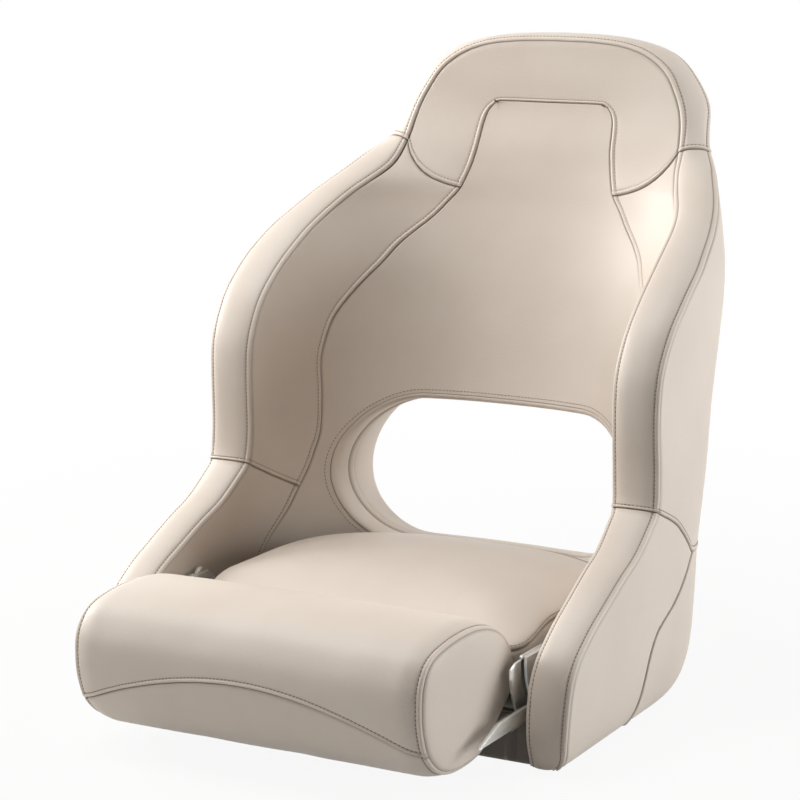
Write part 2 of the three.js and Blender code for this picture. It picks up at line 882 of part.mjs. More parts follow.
// The cross seam from a station of it to the rim, with its end moved onto the rim's edge.
function crossToRim(from, u, depth, side) {
  const station = lerp(from, 0, u);
  const spot = outerCross(station);
  const rim = rimEdge(crossSeamIndex, depth);
  const end = outerCross(0);
  const near = Math.max(1 - station / crossTeeIndex, 0);
  return mirror({ z: spot.z + (rim.z - end.z) * near, wrap: spot.wrap + (rim.wrap - end.wrap) * near }, side);
}
addPair("side_outer", vinyl, (side) =>
  wallPad({
    ...outer,
    left: (v) => mirror(cornerSeam(v * cornerEnd), side),
    right: (v, depth) => mirror(rimEdge(lerp(crossSeamIndex, junctionStation, v), depth), side),
    start: (u, depth) => crossToRim(crossCornerIndex, u, depth, side),
    columns: padStops(7),
    rows: padStops(11),
    insets: { ...sewnAtRim, start: bentSeam },
  }),
);
addPair("arm_outer", vinyl, (side) =>
  wallPad({
    ...outer,
    left: (v) => mirror(outerRear(lerp(rearEnd, 0, v)), side),
    right: (v, depth) => mirror(rimEdge(lerp(footIndex, crossSeamIndex, v), depth), side),
    end: (u, depth) => crossToRim(crossTeeIndex, u, depth, side),
    columns: padStops(6),
    rows: padStops(8),
    insets: { ...sewnAtRim, end: bentSeam },
  }),
);
const backTopSeam = cornerSeam(cornerEnd).z;
const headrestEdge = (v, depth) => rimEdge(lerp(junctionStation, topStation - 1, v), depth);
addPiece(
  "back_outer",
  cut(
    wallPad({
      ...outer,
      left: (v) => mirror(cornerSeam(v * cornerEnd), -1),
      right: (v) => cornerSeam(v * cornerEnd),
      columns: padStops(10),
      rows: padStops(11),
      insets: sewn,
    }),
    openingCut,
  ),
  vinyl,
);
addPiece(
  "back_lower",
  cut(
    wallPad({
      ...outer,
      left: (v) => mirror(outerRear(lerp(rearEnd, 0, v)), -1),
      right: (v) => outerRear(lerp(rearEnd, 0, v)),
      end: (u) => mirror(outerCross(lerp(crossMiddleIndex, crossTeeIndex, Math.abs(2 * u - 1))), Math.sign(u - 0.5)),
      columns: padStops(13),
      rows: padStops(8),
      insets: sewn,
    }),
    openingCut,
  ),
  vinyl,
);
addPiece(
  "headrest_back",
  wallPad({
    ...outer,
    left: (v, depth) => mirror(headrestEdge(v, depth), -1),
    right: (v, depth) => headrestEdge(v, depth),
    start: (u, depth) => {
      const share = 2 * u - 1;
      const rim = rimEdge(junctionStation, depth);
      const outsideCorner = Math.max(Math.abs(share) * rim.wrap - cornerSeam(cornerEnd).wrap, 0);
      return { wrap: share * rim.wrap, z: lerp(backTopSeam, rim.z, outsideCorner * 5) };
    },
    columns: padStops(9),
    rows: padStops(8),
    insets: { ...sewnAtRim, left: 0, end: 0 },
  }),
  vinyl,
);

// The crowned strip that closes the wall's front edge, from foot to headrest.
function rimPoint(station, across, offset) {
  const spotOn = (at, share) => {
    const inner = rimAt(at, 0);
    const outside = rimAt(at, 1);
    return wallPoint(inner.wrap, inner.z, 0).lerp(wallPoint(outside.wrap, outside.z, 1), share);
  };
  const stepShare = 0.05;
  const before = spotOn(Math.max(station - stepShare, 0), 0.5);
  const after = spotOn(Math.min(station + stepShare, topStation), 0.5);
  const along = after.sub(before);
  const sideways = spotOn(station, 1).sub(spotOn(station, 0));
  const outwards = sideways.cross(along).normalize();
  return spotOn(station, across).addScaledVector(outwards, offset);
}

function rimStrip(spots, columns, rows) {
  const place = (u, v, layer) => {
    const length = 2 * spots(0, 0.5, 0).distanceTo(spots(0.5, 0.5, 0));
    const along = lerp(touchGap / length, 1 - touchGap / length, v);
    if (layer === 1) return spots(along, u, -rimSeat);
    const crown = rimCrown * (1 - Math.abs(2 * u - 1) ** 3);
    return spots(along, u, crown - dipAt(Math.min(v, 1 - v) * length));
  };
  return padSolid(evenStops(columns), padStops(rows), place);
}
const flip = (point, side) => point.setX(point.x * side);
addPair("rim_lower", vinyl, (side) =>
  rimStrip((v, u, offset) => flip(rimPoint(lerp(footIndex, crossSeamIndex, v), u, offset), side), 6, 10),
);
addPair("rim_upper", vinyl, (side) =>
  rimStrip((v, u, offset) => flip(rimPoint(lerp(crossSeamIndex, junctionStation, v), u, offset), side), 6, 14),
);
addPiece(
  "headrest_rim",
  rimStrip(
    (v, u, offset) => {
      const side = v < 0.5 ? 1 : -1;
      const station = lerp(topStation, junctionStation, Math.abs(2 * v - 1));
      return flip(rimPoint(station, u, offset), side);
    },
    6,
    19,
  ),
  vinyl,
);

// The lining of the opening: a sleeve through the wall with a rolled lip each side.
// Each row: share of the thickness, 0 for the inner face or 1 for the outer, roll.
const liningSectionShares = [
  [0, 0, -0.8],
  [0.25, 0, 0.8],
  [0.65, 0, 1],
  [1, 0, 0.2],
  [1, 1, 0.2],
  [0.65, 1, 1],
  [0.25, 1, 0.8],
  [0, 1, -0.8],
];
function faceDepth(section, x) {
  const rise = Math.max(1 - (Math.abs(x) / section.half) ** section.fullness, 0);
  return section.centre + section.depth * rise ** (1 / section.fullness);
}
function makeLining() {
  const count = openingOutline(0).length;
  const rings = Array.from({ length: count }, (_, i) =>
    liningSectionShares.map(([out, outside, roll]) => {
      const [x, z] = openingOutline(out * liningThickness)[i];
      const section = outside ? outerSection(z) : innerSection(z);
      const away = outside ? 1 : -1;
      return new THREE.Vector3(x, faceDepth(section, x) + away * roll * liningRoll, z);
    }),
  );
  return ringSolid(rings, true);
}
addPiece("opening_lining", makeLining(), vinylShade);

// The bolster's side outline, from the top of its rear chamfer over the top and front.
// Each row: share forward, share up, share of the swell.
const bolsterOutlineShares = [
  [0.067, 0.315, 0],
  [0.005, 0.44, 0.3],
  [0.005, 0.6, 0.6],
  [0.067, 0.755, 1],
  [0.18, 0.89, 1],
  [0.34, 0.972, 1],
  [0.52, 1, 1],
  [0.73, 0.985, 1],
  [0.9, 0.925, 1],
  [0.985, 0.78, 1],
  [1, 0.58, 1],
  [0.982, 0.406, 1],
  [0.93, 0.234, 1],
  [0.82, 0.086, 1],
  [0.68, 0.016, 1],
  [0.52, 0, 0.8],
  [0.4, 0.01, 0.2],
  [0.34, 0.035, 0],
];
const bolsterStations = bolsterOutlineShares.length;
const chamferStation = bolsterStations - 1;
const seamEndIndex = 12;
const seamMiddleIndex = 10;

function bolsterOutline(station) {
  const at = (index) => bolsterOutlineShares[(index + bolsterStations) % bolsterStations];
  const i = Math.floor(station);
  const t = station - i;
  const straight = i % bolsterStations === chamferStation;
  const [p0, p1, p2, p3] = [at(i - 1), at(i), at(i + 1), at(i + 2)];
  return p1.map((start, c) => {
    const end = p2[c];
    if (straight) return lerp(start, end, t);
    const rise = i % bolsterStations === 0 ? end - start : (end - p0[c]) / 2;
    const fall = i + 1 === chamferStation ? end - start : (p3[c] - start) / 2;
    return (
      start + t * rise + t * t * (3 * (end - start) - 2 * rise - fall) +
      t * t * t * (2 * (start - end) + rise + fall)
    );
  });
}

// A point on the bolster's outline, moved out square to it.
function bolsterPoint(station, x, out, swell = 0) {
  const flat = (at) => {
    const [forward, up] = bolsterOutline(at);
    return new THREE.Vector2(
      -lerp(bolsterRear, bolsterFront, forward),
      lerp(bolsterBottom, bolsterTop, up),
    );
  };
  const stepShare = 0.1;
  const share = bolsterOutline(station)[2];
  const along = flat(station + stepShare).sub(flat(station - stepShare + bolsterStations)).normalize();
  const here = flat(station);
  const reach = out + swell * share;
  return new THREE.Vector3(x, here.x + along.y * -reach * bolsterTurn, here.y + along.x * reach * bolsterTurn);
}
const bolsterTurn = -1;

function bolsterPad(from, to, columns, rows, skin, [startGap, endGap]) {
  const place = (u, v, layer) => {
    const share = 2 * u - 1;
    const reach = layer === 0 ? bolsterHalfWidth - seamGap : bolsterHalfWidth - capThickness;
    const x = share * reach;
    const side = Math.abs(x) / bolsterHalfWidth;
    const length = 2 * bolsterPoint(from(side), x, 0).distanceTo(bolsterPoint((from(side) + to(side)) / 2, x, 0));
    const station = lerp(from(side), to(side), lerp(startGap / length, 1 - endGap / length, v));
    if (layer === 1) return bolsterPoint(station, x, -skin);
    const ends = dipAt((1 - Math.abs(share)) * reach) / seamDip;
    const seams = dipAt(Math.min(v, 1 - v) * length);
    const swell = bolsterSwell * (1 - ends);
    return bolsterPoint(station, x, -Math.min(seams, skin / 2), swell);
  };
  return padSolid(columns, rows, place);
}
const curvedSeam = (side) => lerp(seamMiddleIndex, seamEndIndex, side * side);
const bolsterColumnShares = [0, 0.014, 0.04, 0.16, 0.38, 0.62, 0.84, 0.96, 0.986, 1];
addPiece("bolster_top", bolsterPad(() => 0, curvedSeam, bolsterColumnShares, padStops(10), bolsterSkin, [touchGap, bentSeam]), vinyl);
addPiece("bolster_front", bolsterPad(curvedSeam, () => chamferStation, bolsterColumnShares, padStops(8), bolsterSkin, [bentSeam, touchGap]), vinyl);

function ringAt(x, out, swell = 0) {
  const count = 24;
  return Array.from({ length: count }, (_, i) =>
    bolsterPoint((i / count) * bolsterStations, x, out, swell),
  );
}

// The end caps are mitred into the cover and bulge a little at the middle.
// Each row: how far in from the edge, share of the bulge.
const capShares = [
  [0.06, 0.35],
  [0.3, 0.75],
  [0.65, 1],
];
addPair("bolster_cap", vinyl, (side) => {
  const back = ringAt(side * (bolsterHalfWidth - capThickness), -bolsterSkin - 4 * seamGap);
  const edge = ringAt(side * bolsterHalfWidth, -4 * seamGap);
  const middle = new THREE.Vector3(
    side * bolsterHalfWidth,
    -(bolsterRear + bolsterFront) / 2,
    (bolsterBottom + bolsterTop) / 2,
  );
  const bulge = capShares.map(([inward, rise]) =>
    edge.map((point) => {
      const spot = point.clone().lerp(middle, inward);
      return spot.setX(side * (bolsterHalfWidth + rise * capBulge));
    }),
  );
  return ringSolid([back, edge, ...bulge]);
});

// Inside the bolster: a foam core, with a plywood board set in over the chamfer.
const chamferTop = bolsterPoint(bolsterStations, 0, 0);
const chamferEnd = bolsterPoint(chamferStation, 0, 0);
const chamferMiddle = chamferTop.clone().lerp(chamferEnd, 0.5);
const chamferLean = Math.atan2(chamferTop.z - chamferEnd.z, chamferTop.y - chamferEnd.y);
// A shape lying flat on Z = 0 is laid against the chamfer, at a distance into the bolster.
function onChamfer(geometry, x, along, into) {
  geometry.translate(x, along, into);
  geometry.rotateX(chamferLean);
  geometry.translate(0, chamferMiddle.y, chamferMiddle.z);
  return geometry;
}
const boardInto = undersideSkin + touchGap + bolsterBoardThickness / 2;
const bolsterBoard = (grow) =>
  onChamfer(
    new THREE.BoxGeometry(
      2 * (bolsterBoardHalfLength + grow),
      bolsterBoardWidth + 2 * grow,
      bolsterBoardThickness + 2 * grow,
    ),
    0,
    0,
    boardInto,
  );
const screwPlaces = sides.map(([, side]) =>
  [0.64, 0.9].map((share) => side * (armFaceNear - share * tabReach)),
);
const screwHoles = screwPlaces.flat().map((x) => {
  const hole = new THREE.CylinderGeometry(screwRadius + touchGap, screwRadius + touchGap, overrun, 8);
  hole.rotateX(Math.PI / 2);
  return onChamfer(hole, x, 0, undersideSkin);
});
addPiece("bolster_board", cut(bolsterBoard(0), ...screwHoles), ply);
const coreEnd = bolsterHalfWidth - capThickness - seamGap;
const coreBody = ringSolid([-coreEnd, coreEnd].map((x) => ringAt(x, -bolsterSkin - 5 * seamGap)));
const coreSeat = onChamfer(
  boxOver(
    [-coreEnd, coreEnd],
    [-bolsterBoardWidth / 2 - boardMargin, bolsterBoardWidth / 2 + boardMargin],
    [undersideSkin + touchGap, 2 * bolsterSkin],
  ),
  0,
  0,
  0,
);
addPiece("bolster_core", cut(joined(coreBody, coreSeat), bolsterBoard(touchGap), ...screwHoles), foam);
addPiece(
  "bolster_underside",
  cut(
    bolsterPad(() => chamferStation, () => bolsterStations, evenStops(4), evenStops(4), undersideSkin, [0, 0]),
    ...screwHoles,
  ),
  vinylShade,
);

// The fixed plate: an arc round the pivot at the front, a hemmed flange on top,
// and a foot on the floor.
const pivot = { y: -pivotForward, z: pivotHeight };
const stopAngle = -Math.PI / 2 + Math.asin((legWidth / 2 + stopRadius + touchGap) / stopReach);
const stop = {
  y: pivot.y + stopReach * Math.cos(stopAngle),
  z: pivot.z + stopReach * Math.sin(stopAngle),
};
const pivotHole = (radius, side) =>
  cylinderX(radius, side * (hingePlateFace - overrun), side * (armFaceFar + overrun), pivot.y, pivot.z);

addPair("hinge_plate", steel, (side) => {
  const inner = side * hingePlateFace;
  const outside = side * (hingePlateFace + hingePlateThickness);
  const arc = evenStops(9).map((share) => {
    const low = Math.asin((plateBottom - pivot.z) / plateSweep);
    const high = Math.asin((plateTop - pivot.z) / plateSweep);
    const angle = lerp(low, high, share);
    return [pivot.y - plateSweep * Math.cos(angle), pivot.z + plateSweep * Math.sin(angle)];
  });
  const earTop = pivot.z + hubRadius;
  const outline = [
    ...arc.reverse(),
    [-flangeRear - hubRadius, plateBottom],
    [-flangeRear, floorTop + touchGap],
    [-plateRear, floorTop + touchGap],
    [-plateRear, plateTop],
    [-plateRear - hubRadius, earTop],
    [-flangeRear + hubRadius, earTop],
    [-flangeRear, plateTop],
  ];
  const web = sidePlate(outline, inner, outside);
  const flangeFront = pivot.y - plateSweep;
  const hemCentre = side * (hingePlateFace + hingePlateThickness - flangeReach + hemRadius);
  const flange = boxOver(
    [hemCentre, outside],
    [flangeFront + hemRadius, -flangeRear],
    [plateTop - hingePlateThickness, plateTop],
  );
  const hem = new THREE.CapsuleGeometry(hemRadius, -flangeRear - flangeFront - 2 * hemRadius, 3, 10);
  hem.translate(hemCentre, (flangeFront - flangeRear) / 2, plateTop - hingePlateThickness / 2);
  const foot = boxOver(
    [side * (hingePlateFace - footWidth), outside],
    [-flangeRear, -plateRear],
    [floorTop + touchGap, floorTop + touchGap + tabThickness],
  );
  const stopHole = cylinderX(stopRadius + runningGap, inner - overrun, inner + overrun, stop.y, stop.z, 16);
  return cut(joined(web, flange, hem, foot), pivotHole(pivotRadius + runningGap, side), stopHole);
});

// The moving arm: hub, leg, bar under the bolster, tab along the chamfer, and the tail
// that meets the stop pin when the bolster is up.
function turnedBar(angle, from, to, width, side) {
  const bar = boxOver([armFaceNear, armFaceFar], [from, to], [-width / 2, width / 2]);
  bar.rotateX(angle);
  bar.translate(0, pivot.y, pivot.z);
  if (side < 0) bar.translate(-armFaceNear - armFaceFar, 0, 0);
  return bar;
}
addPair("carrier_arm", steel, (side) => {
  const near = side * armFaceNear;
  const far = side * armFaceFar;
  const leg = turnedBar(-Math.PI / 2, 0, pivot.z - barBottom, legWidth, side);
  const tail = turnedBar((tailAngle * Math.PI) / 180, 0, tailReach, tailWidth, side);
  const bar = sidePlate(
    [
      [pivot.y + legWidth / 2, barBottom],
      [pivot.y + legWidth / 2, barTop],
      [-barEndTop, barTop],
      [-barEndBottom, barBottom],
    ],
    near,
    far,
  );
  const hub = cylinderX(hubRadius, near, far, pivot.y, pivot.z, 28);
  const tab = onChamfer(
    boxOver(
      [side * (armFaceFar - tabReach - armPlate), far],
      [-bolsterBoardWidth / 2, bolsterBoardWidth / 2],
      [-touchGap - tabThickness, -touchGap],
    ),
    0,
    0,
    0,
  );
  return cut(joined(hub, leg, tail, bar, tab), pivotHole(pivotRadius + runningGap + bushWall, side), ...screwHoles);
});
addPair("pivot_bush", bronze, (side) => {
  const reach = [side * (armFaceNear - hingeGap + touchGap), side * (armFaceFar - touchGap)];
  const sleeve = cylinderX(pivotRadius + bushWall, ...reach, pivot.y, pivot.z);
  const collar = cylinderX(
    pivotHeadRadius,
    side * (armFaceNear - hingeGap + touchGap),
    side * (armFaceNear - touchGap),
    pivot.y,
    pivot.z,
  );
  return cut(joined(sleeve, collar), pivotHole(pivotRadius + runningGap, side));
});
addPair("pivot_pin", steel, (side) => {
  const headTop = side * (hingePlateFace - touchGap - pivotHeadHeight);
  const head = cylinderX(pivotHeadRadius, headTop, side * (hingePlateFace - touchGap), pivot.y, pivot.z);
  const end = side * (armFaceFar + touchGap + nutHeight);
  const shank = cylinderX(pivotRadius, side * (hingePlateFace - 2 * touchGap), end, pivot.y, pivot.z);
  return joined(head, shank);
});
addPair("pivot_nut", steel, (side) => {
  const from = side * (armFaceFar + touchGap);
  const nut = cylinderX(nutRadius, from, from + side * nutHeight, pivot.y, pivot.z, 6);
  return cut(nut, pivotHole(pivotRadius + runningGap, side));
});
addPair("stop_pin", steel, (side) => {
  const shank = cylinderX(stopRadius, side * (hingePlateFace - touchGap), side * armFaceFar, stop.y, stop.z, 16);
  const head = cylinderX(
    stopRadius + hingeGap,
    side * (hingePlateFace - touchGap - pivotHeadHeight),
    side * (hingePlateFace - touchGap),
    stop.y,
    stop.z,
    16,
  );
  return joined(shank, head);
});
for (const [index, [label]] of sides.entries()) {
  screwPlaces[index].forEach((x, number) => {
    const shank = new THREE.CylinderGeometry(screwRadius, screwRadius, screwLength, 12);
    shank.translate(0, screwLength / 2, 0);
    const head = new THREE.CylinderGeometry(screwHeadRadius, screwHeadTopRadius, screwHeadHeight, 16);
    head.translate(0, -screwHeadHeight / 2, 0);
    const screw = joined(shank, head);
    screw.rotateX(Math.PI / 2);
    addPiece(`carrier_screw_${label}_${number + 1}`, onChamfer(screw, x, 0, -tabThickness - 2 * touchGap), steel);
  });
}

export default seat;
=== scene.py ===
# A helm seat for a boat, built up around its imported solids: a sewn vinyl bucket over a
# moulded shell, a loose cushion, and a front bolster on two steel side hinges.
import math

import bpy
import numpy as np
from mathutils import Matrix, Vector
from mathutils.kdtree import KDTree


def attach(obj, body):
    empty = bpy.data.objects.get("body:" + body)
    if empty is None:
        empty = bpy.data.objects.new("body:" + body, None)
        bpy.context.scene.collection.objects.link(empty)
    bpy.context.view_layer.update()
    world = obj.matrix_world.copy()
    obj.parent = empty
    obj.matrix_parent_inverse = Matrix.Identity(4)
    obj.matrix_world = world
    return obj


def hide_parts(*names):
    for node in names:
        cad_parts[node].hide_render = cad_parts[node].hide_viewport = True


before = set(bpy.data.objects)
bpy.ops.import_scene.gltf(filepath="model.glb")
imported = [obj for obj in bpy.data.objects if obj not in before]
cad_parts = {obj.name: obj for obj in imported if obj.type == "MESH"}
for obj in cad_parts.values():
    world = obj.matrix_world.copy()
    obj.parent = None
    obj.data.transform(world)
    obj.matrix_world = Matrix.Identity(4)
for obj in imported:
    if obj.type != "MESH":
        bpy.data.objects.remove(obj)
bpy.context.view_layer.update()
bpy.ops.object.select_all(action="DESELECT")


# Camera: a long lens to the right of the seat and a little above it, as a catalogue
# picture is taken. It looks at the middle of the bucket.
MM = 0.001
CAMERA_PLACE = Vector((1251.5, -2283.9, 829.9)) * MM
CAMERA_TARGET = Vector((-31.1, 63.4, 312.4)) * MM
CAMERA_LENS = 112.7

bpy.ops.object.camera_add(location=CAMERA_PLACE)
camera = bpy.context.object
camera.rotation_euler = (CAMERA_TARGET - CAMERA_PLACE).to_track_quat("-Z", "Y").to_euler()
camera.data.lens = CAMERA_LENS
bpy.context.scene.camera = camera


# Finishes are written as sums of shader nodes: one class wraps a socket, and its
# operators add Math nodes.
class Shade:
    tree = None

    def __init__(self, socket):
        self.socket = socket

    @classmethod
    def start(cls, name):
        """A new, empty material. The nodes that are made next go into it."""
        material = bpy.data.materials.new(name)
        material.use_nodes = True
        cls.tree = material.node_tree
        cls.tree.nodes.clear()
        return material

    @classmethod
    def node(cls, kind, settings=None, out=0, **inputs):
        made = cls.tree.nodes.new(kind)
        for key, value in (settings or {}).items():
            if key == "stops":
                while len(made.color_ramp.elements) < len(value):
                    made.color_ramp.elements.new(0.5)
                for element, (place, colour) in zip(made.color_ramp.elements, value):
                    element.position = place
                    element.color = colour
            else:
                setattr(made, key, value)
        for key, value in inputs.items():
            socket = made.inputs[int(key[1:])] if key[0] == "_" else made.inputs[key.replace("_", " ")]
            if isinstance(value, Shade):
                cls.tree.links.new(value.socket, socket)
            else:
                socket.default_value = value
        return cls(made.outputs[out])

    def math(self, operation, other=0.0, flip=False):
        first, second = (other, self) if flip else (self, other)
        return Shade.node("ShaderNodeMath", {"operation": operation}, _0=first, _1=second)

    def __add__(self, other):
        return self.math("ADD", other)

    __radd__ = __add__

    def __sub__(self, other):
        return self.math("SUBTRACT", other)

    def __rsub__(self, other):
        return self.math("SUBTRACT", other, flip=True)

    def __mul__(self, other):
        return self.math("MULTIPLY", other)

    __rmul__ = __mul__

    def clamped(self, low=0.3, high=0.7):
        """Drawn out to run from 0 to 1. A noise keeps to 0.3 to 0.7 almost everywhere."""
        return Shade.node(
            "ShaderNodeMapRange", {"clamp": True},
            From_Min=low, From_Max=high, To_Min=0.0, To_Max=1.0, Value=self,
        )


def paint(red, green, blue):
    """A colour as a screen shows it (0 to 255), as the linear one a shader takes."""
    shares = [part / 255 for part in (red, green, blue)]
    return (*[part / 12.92 if part <= 0.04045 else ((part + 0.055) / 1.055) ** 2.4 for part in shares], 1.0)


def blend_paint(mask, low, high):
    return Shade.node("ShaderNodeMix", {"data_type": "RGBA"}, out=2, _0=mask, _6=low, _7=high)


def object_place(scale=(1.0, 1.0, 1.0)):
    place = Shade.node("ShaderNodeTexCoord", out=3)
    return Shade.node("ShaderNodeMapping", Vector=place, Scale=scale)


def send_out(surface, kind="ShaderNodeOutputMaterial"):
    output = Shade.tree.nodes.new(kind)
    Shade.tree.links.new(surface.socket, output.inputs["Surface"])


def finish_material(**inputs):
    send_out(Shade.node("ShaderNodeBsdfPrincipled", **inputs))


# The room: a pale floor that keeps the seat's shadow, a white surround, and soft lamps
# overhead, in front and at both sides. Sizes here are in metres.
FLOOR_SIZE = 12.0
FLOOR_DROP = 0.0015
NEAR_WHITENESS = 0.92
WHITER_FROM, WHITE_FROM = 0.45, 1.5
WHITE = (1, 1, 1, 1)
SURROUND_LIGHT = 0.02
LAMP_SIZE = 1.2
LAMP_AIM = Vector((0, 0.1, 0.35))


def seen_directly():
    """1 where the camera or a reflection sees the surface, and 0 where it only lights."""
    rays = Shade.tree.nodes.new("ShaderNodeLightPath")
    return Shade(rays.outputs["Is Camera Ray"]).math("MAXIMUM", Shade(rays.outputs["Is Glossy Ray"]))


bpy.ops.mesh.primitive_plane_add(size=FLOOR_SIZE, location=(0, 0, -FLOOR_DROP))
floor = bpy.context.object
floor.name = "floor"
floor.data.materials.append(Shade.start("floor_paint"))
matte = Shade.node("ShaderNodeBsdfDiffuse", Color=paint(206, 205, 203))
glow = Shade.node("ShaderNodeEmission", Color=WHITE, Strength=1.0)
from_seat = Shade.node("ShaderNodeVectorMath", {"operation": "LENGTH"}, out=1, _0=object_place())
whiteness = NEAR_WHITENESS + from_seat.clamped(WHITER_FROM, WHITE_FROM) * (1 - NEAR_WHITENESS)
send_out(Shade.node("ShaderNodeMixShader", _0=seen_directly() * whiteness, _1=matte, _2=glow))

world = bpy.data.worlds.new("surround")
bpy.context.scene.world = world
world.use_nodes = True
Shade.tree = world.node_tree
Shade.tree.nodes.clear()
dim = Shade.node("ShaderNodeBackground", Color=paint(250, 240, 230), Strength=SURROUND_LIGHT)
bright = Shade.node("ShaderNodeBackground", Color=WHITE, Strength=1.0)
surround = Shade.node("ShaderNodeMixShader", _0=seen_directly(), _1=dim, _2=bright)
send_out(surround, "ShaderNodeOutputWorld")

LAMPS = [
    # name, place, watts, colour
    ("lamp_top", (-0.5, -0.3, 2.3), 30, (1.0, 1.0, 1.0)),
    ("lamp_front", (-2.2, -1.9, 1.3), 30, (1.0, 0.99, 0.98)),
    ("lamp_left", (-2.4, 0.2, 1.2), 56, (1.0, 0.99, 0.98)),
    ("lamp_right", (2.3, 1.0, 0.9), 46, (0.98, 0.99, 1.0)),
]
for lamp_name, lamp_place, lamp_watts, lamp_colour in LAMPS:
    bpy.ops.object.light_add(type="AREA", location=lamp_place)
    lamp = bpy.context.object
    lamp.name = lamp_name
    lamp.data.size = LAMP_SIZE
    lamp.data.energy = lamp_watts
    lamp.data.color = lamp_colour
    lamp.rotation_euler = (LAMP_AIM - Vector(lamp_place)).to_track_quat("-Z", "Y").to_euler()
bpy.context.scene.view_settings.view_transform = "Standard"


# Upholstery vinyl: a warm cream sheet with a fine pressed grain. Painted shade darkens it down
# in the seams and along the stitch rows, by a point attribute from 0 on the open panel to 1 deep in a seam.
SEAM_SHADE_STRENGTH = 0.85
PEBBLE_RELIEF, PORE_RELIEF, STRETCH_RELIEF = 0.75, 0.2, 0.3
VINYL_ROUGHNESS, CLOUD_ROUGHNESS, PEBBLE_ROUGHNESS = 0.43, 0.06, 0.08


def vinyl_material(name, light, deep, seam):
    material = Shade.start(name)
    place = object_place()
    pebbles = Shade.node(
        "ShaderNodeTexVoronoi", {"feature": "SMOOTH_F1"}, Vector=place, Scale=820.0, Smoothness=0.35
    )
    pores = Shade.node("ShaderNodeTexNoise", Vector=place, Scale=2600.0, Detail=2.0)
    stretch = Shade.node("ShaderNodeTexNoise", Vector=place, Scale=240.0, Detail=2.0)
    clouds = Shade.node("ShaderNodeTexNoise", Vector=place, Scale=7.0, Detail=3.0)
    depth = Shade.node("ShaderNodeAttribute", {"attribute_name": "seam_depth"}, out=2)
    tone = blend_paint(clouds.clamped(), deep, light)
    # painted shade: the tone is blended towards the seam colour where the seam attribute is high
    colour = blend_paint(depth * SEAM_SHADE_STRENGTH, tone, seam)
    relief = (1 - pebbles) * PEBBLE_RELIEF + pores * PORE_RELIEF + stretch * STRETCH_RELIEF
    bump = Shade.node("ShaderNodeBump", Height=relief, Strength=0.32, Distance=0.0006)
    rough = VINYL_ROUGHNESS + clouds * CLOUD_ROUGHNESS + (1 - pebbles) * PEBBLE_ROUGHNESS
    finish_material(Base_Color=colour, Roughness=rough, Normal=bump)
    return material


# the third colour of each vinyl is its painted seam shade
VINYL = vinyl_material("cream_vinyl", paint(218, 207, 195), paint(211, 198, 185), paint(112, 95, 80))
# A darkened copy of the cream vinyl: painted shade for the bolster's underside and the apron, which lie in
# the shadow under the seat.
PAINTED_SHADE_VINYL = vinyl_material("painted_shade_vinyl", paint(104, 95, 84), paint(88, 79, 69), paint(50, 44, 38))
THREAD = Shade.start("stitch_thread")
twist = Shade.node("ShaderNodeTexNoise", Vector=object_place(), Scale=3000.0, Detail=1.0)
finish_material(
    Base_Color=blend_paint(twist.clamped(), paint(126, 107, 90), paint(152, 132, 113)),
    Roughness=0.8,
)


# The bucket's wall. All its panels are cut from two curved surfaces, an inner and an
# outer one, given by plan sections from the base to the top of the headrest. Heights
# are measured from a line that lies the depth of the foot above the underside.
FOOT_DEPTH = 16.0
HEIGHT = 678.0
INNER_HALF, INNER_REACH, INNER_FULLNESS = 230.0, 385.0, 2.5
OUTER_HALF, OUTER_REACH = 278.0, 430.0
FRONT_STRAIGHT = 215.0
INNER_SECTIONS = [
    # shares of the height, the half width, and the reach of the section's centre and back
    [0, 1, 0.156, 0.38],
    [0.04, 1, 0.158, 0.48],
    [0.1, 1, 0.16, 0.55],
    [0.177, 1, 0.161, 0.59],
    [0.339, 0.962, 0.161, 0.649],
    [0.442, 0.958, 0.161, 0.714],
    [0.516, 0.958, 0.171, 0.756],
    [0.596, 0.962, 0.213, 0.8],
    [0.642, 0.96, 0.286, 0.83],
    [0.711, 0.945, 0.468, 0.876],
    [0.748, 0.925, 0.558, 0.894],
    [0.774, 0.9, 0.696, 0.906],
    [0.813, 0.87, 0.831, 0.924],
    [0.876, 0.826, 0.904, 0.966],
    [0.945, 0.722, 0.951, 0.99],
    [1, 0.652, 0.977, 1],
]
OUTER_SECTIONS = [
    # the same shares, and how full the section's corners are
    [-0.024, 0.92, 0.105, 0.46, 3.6],
    [-0.012, 0.955, 0.12, 0.525, 3.6],
    [0.012, 0.982, 0.132, 0.58, 3.6],
    [0.056, 0.996, 0.14, 0.623, 3.6],
    [0.14, 1, 0.144, 0.651, 3.6],
    [0.209, 1, 0.144, 0.67, 3.6],
    [0.329, 0.993, 0.144, 0.714, 4.1],
    [0.435, 0.988, 0.153, 0.763, 4.1],
    [0.53, 0.993, 0.186, 0.819, 3.85],
    [0.608, 1, 0.265, 0.851, 3.4],
    [0.661, 0.99, 0.384, 0.874, 2.8],
    [0.721, 0.935, 0.512, 0.902, 2.5],
    [0.746, 0.899, 0.581, 0.914, 2.4],
    [0.771, 0.856, 0.651, 0.926, 2.4],
    [0.801, 0.813, 0.721, 0.942, 2.4],
    [0.848, 0.737, 0.842, 0.956, 2.4],
    [0.891, 0.705, 0.895, 0.972, 2.4],
    [0.945, 0.619, 0.921, 0.986, 2.4],
    [1, 0.54, 0.953, 1, 2.4],
]


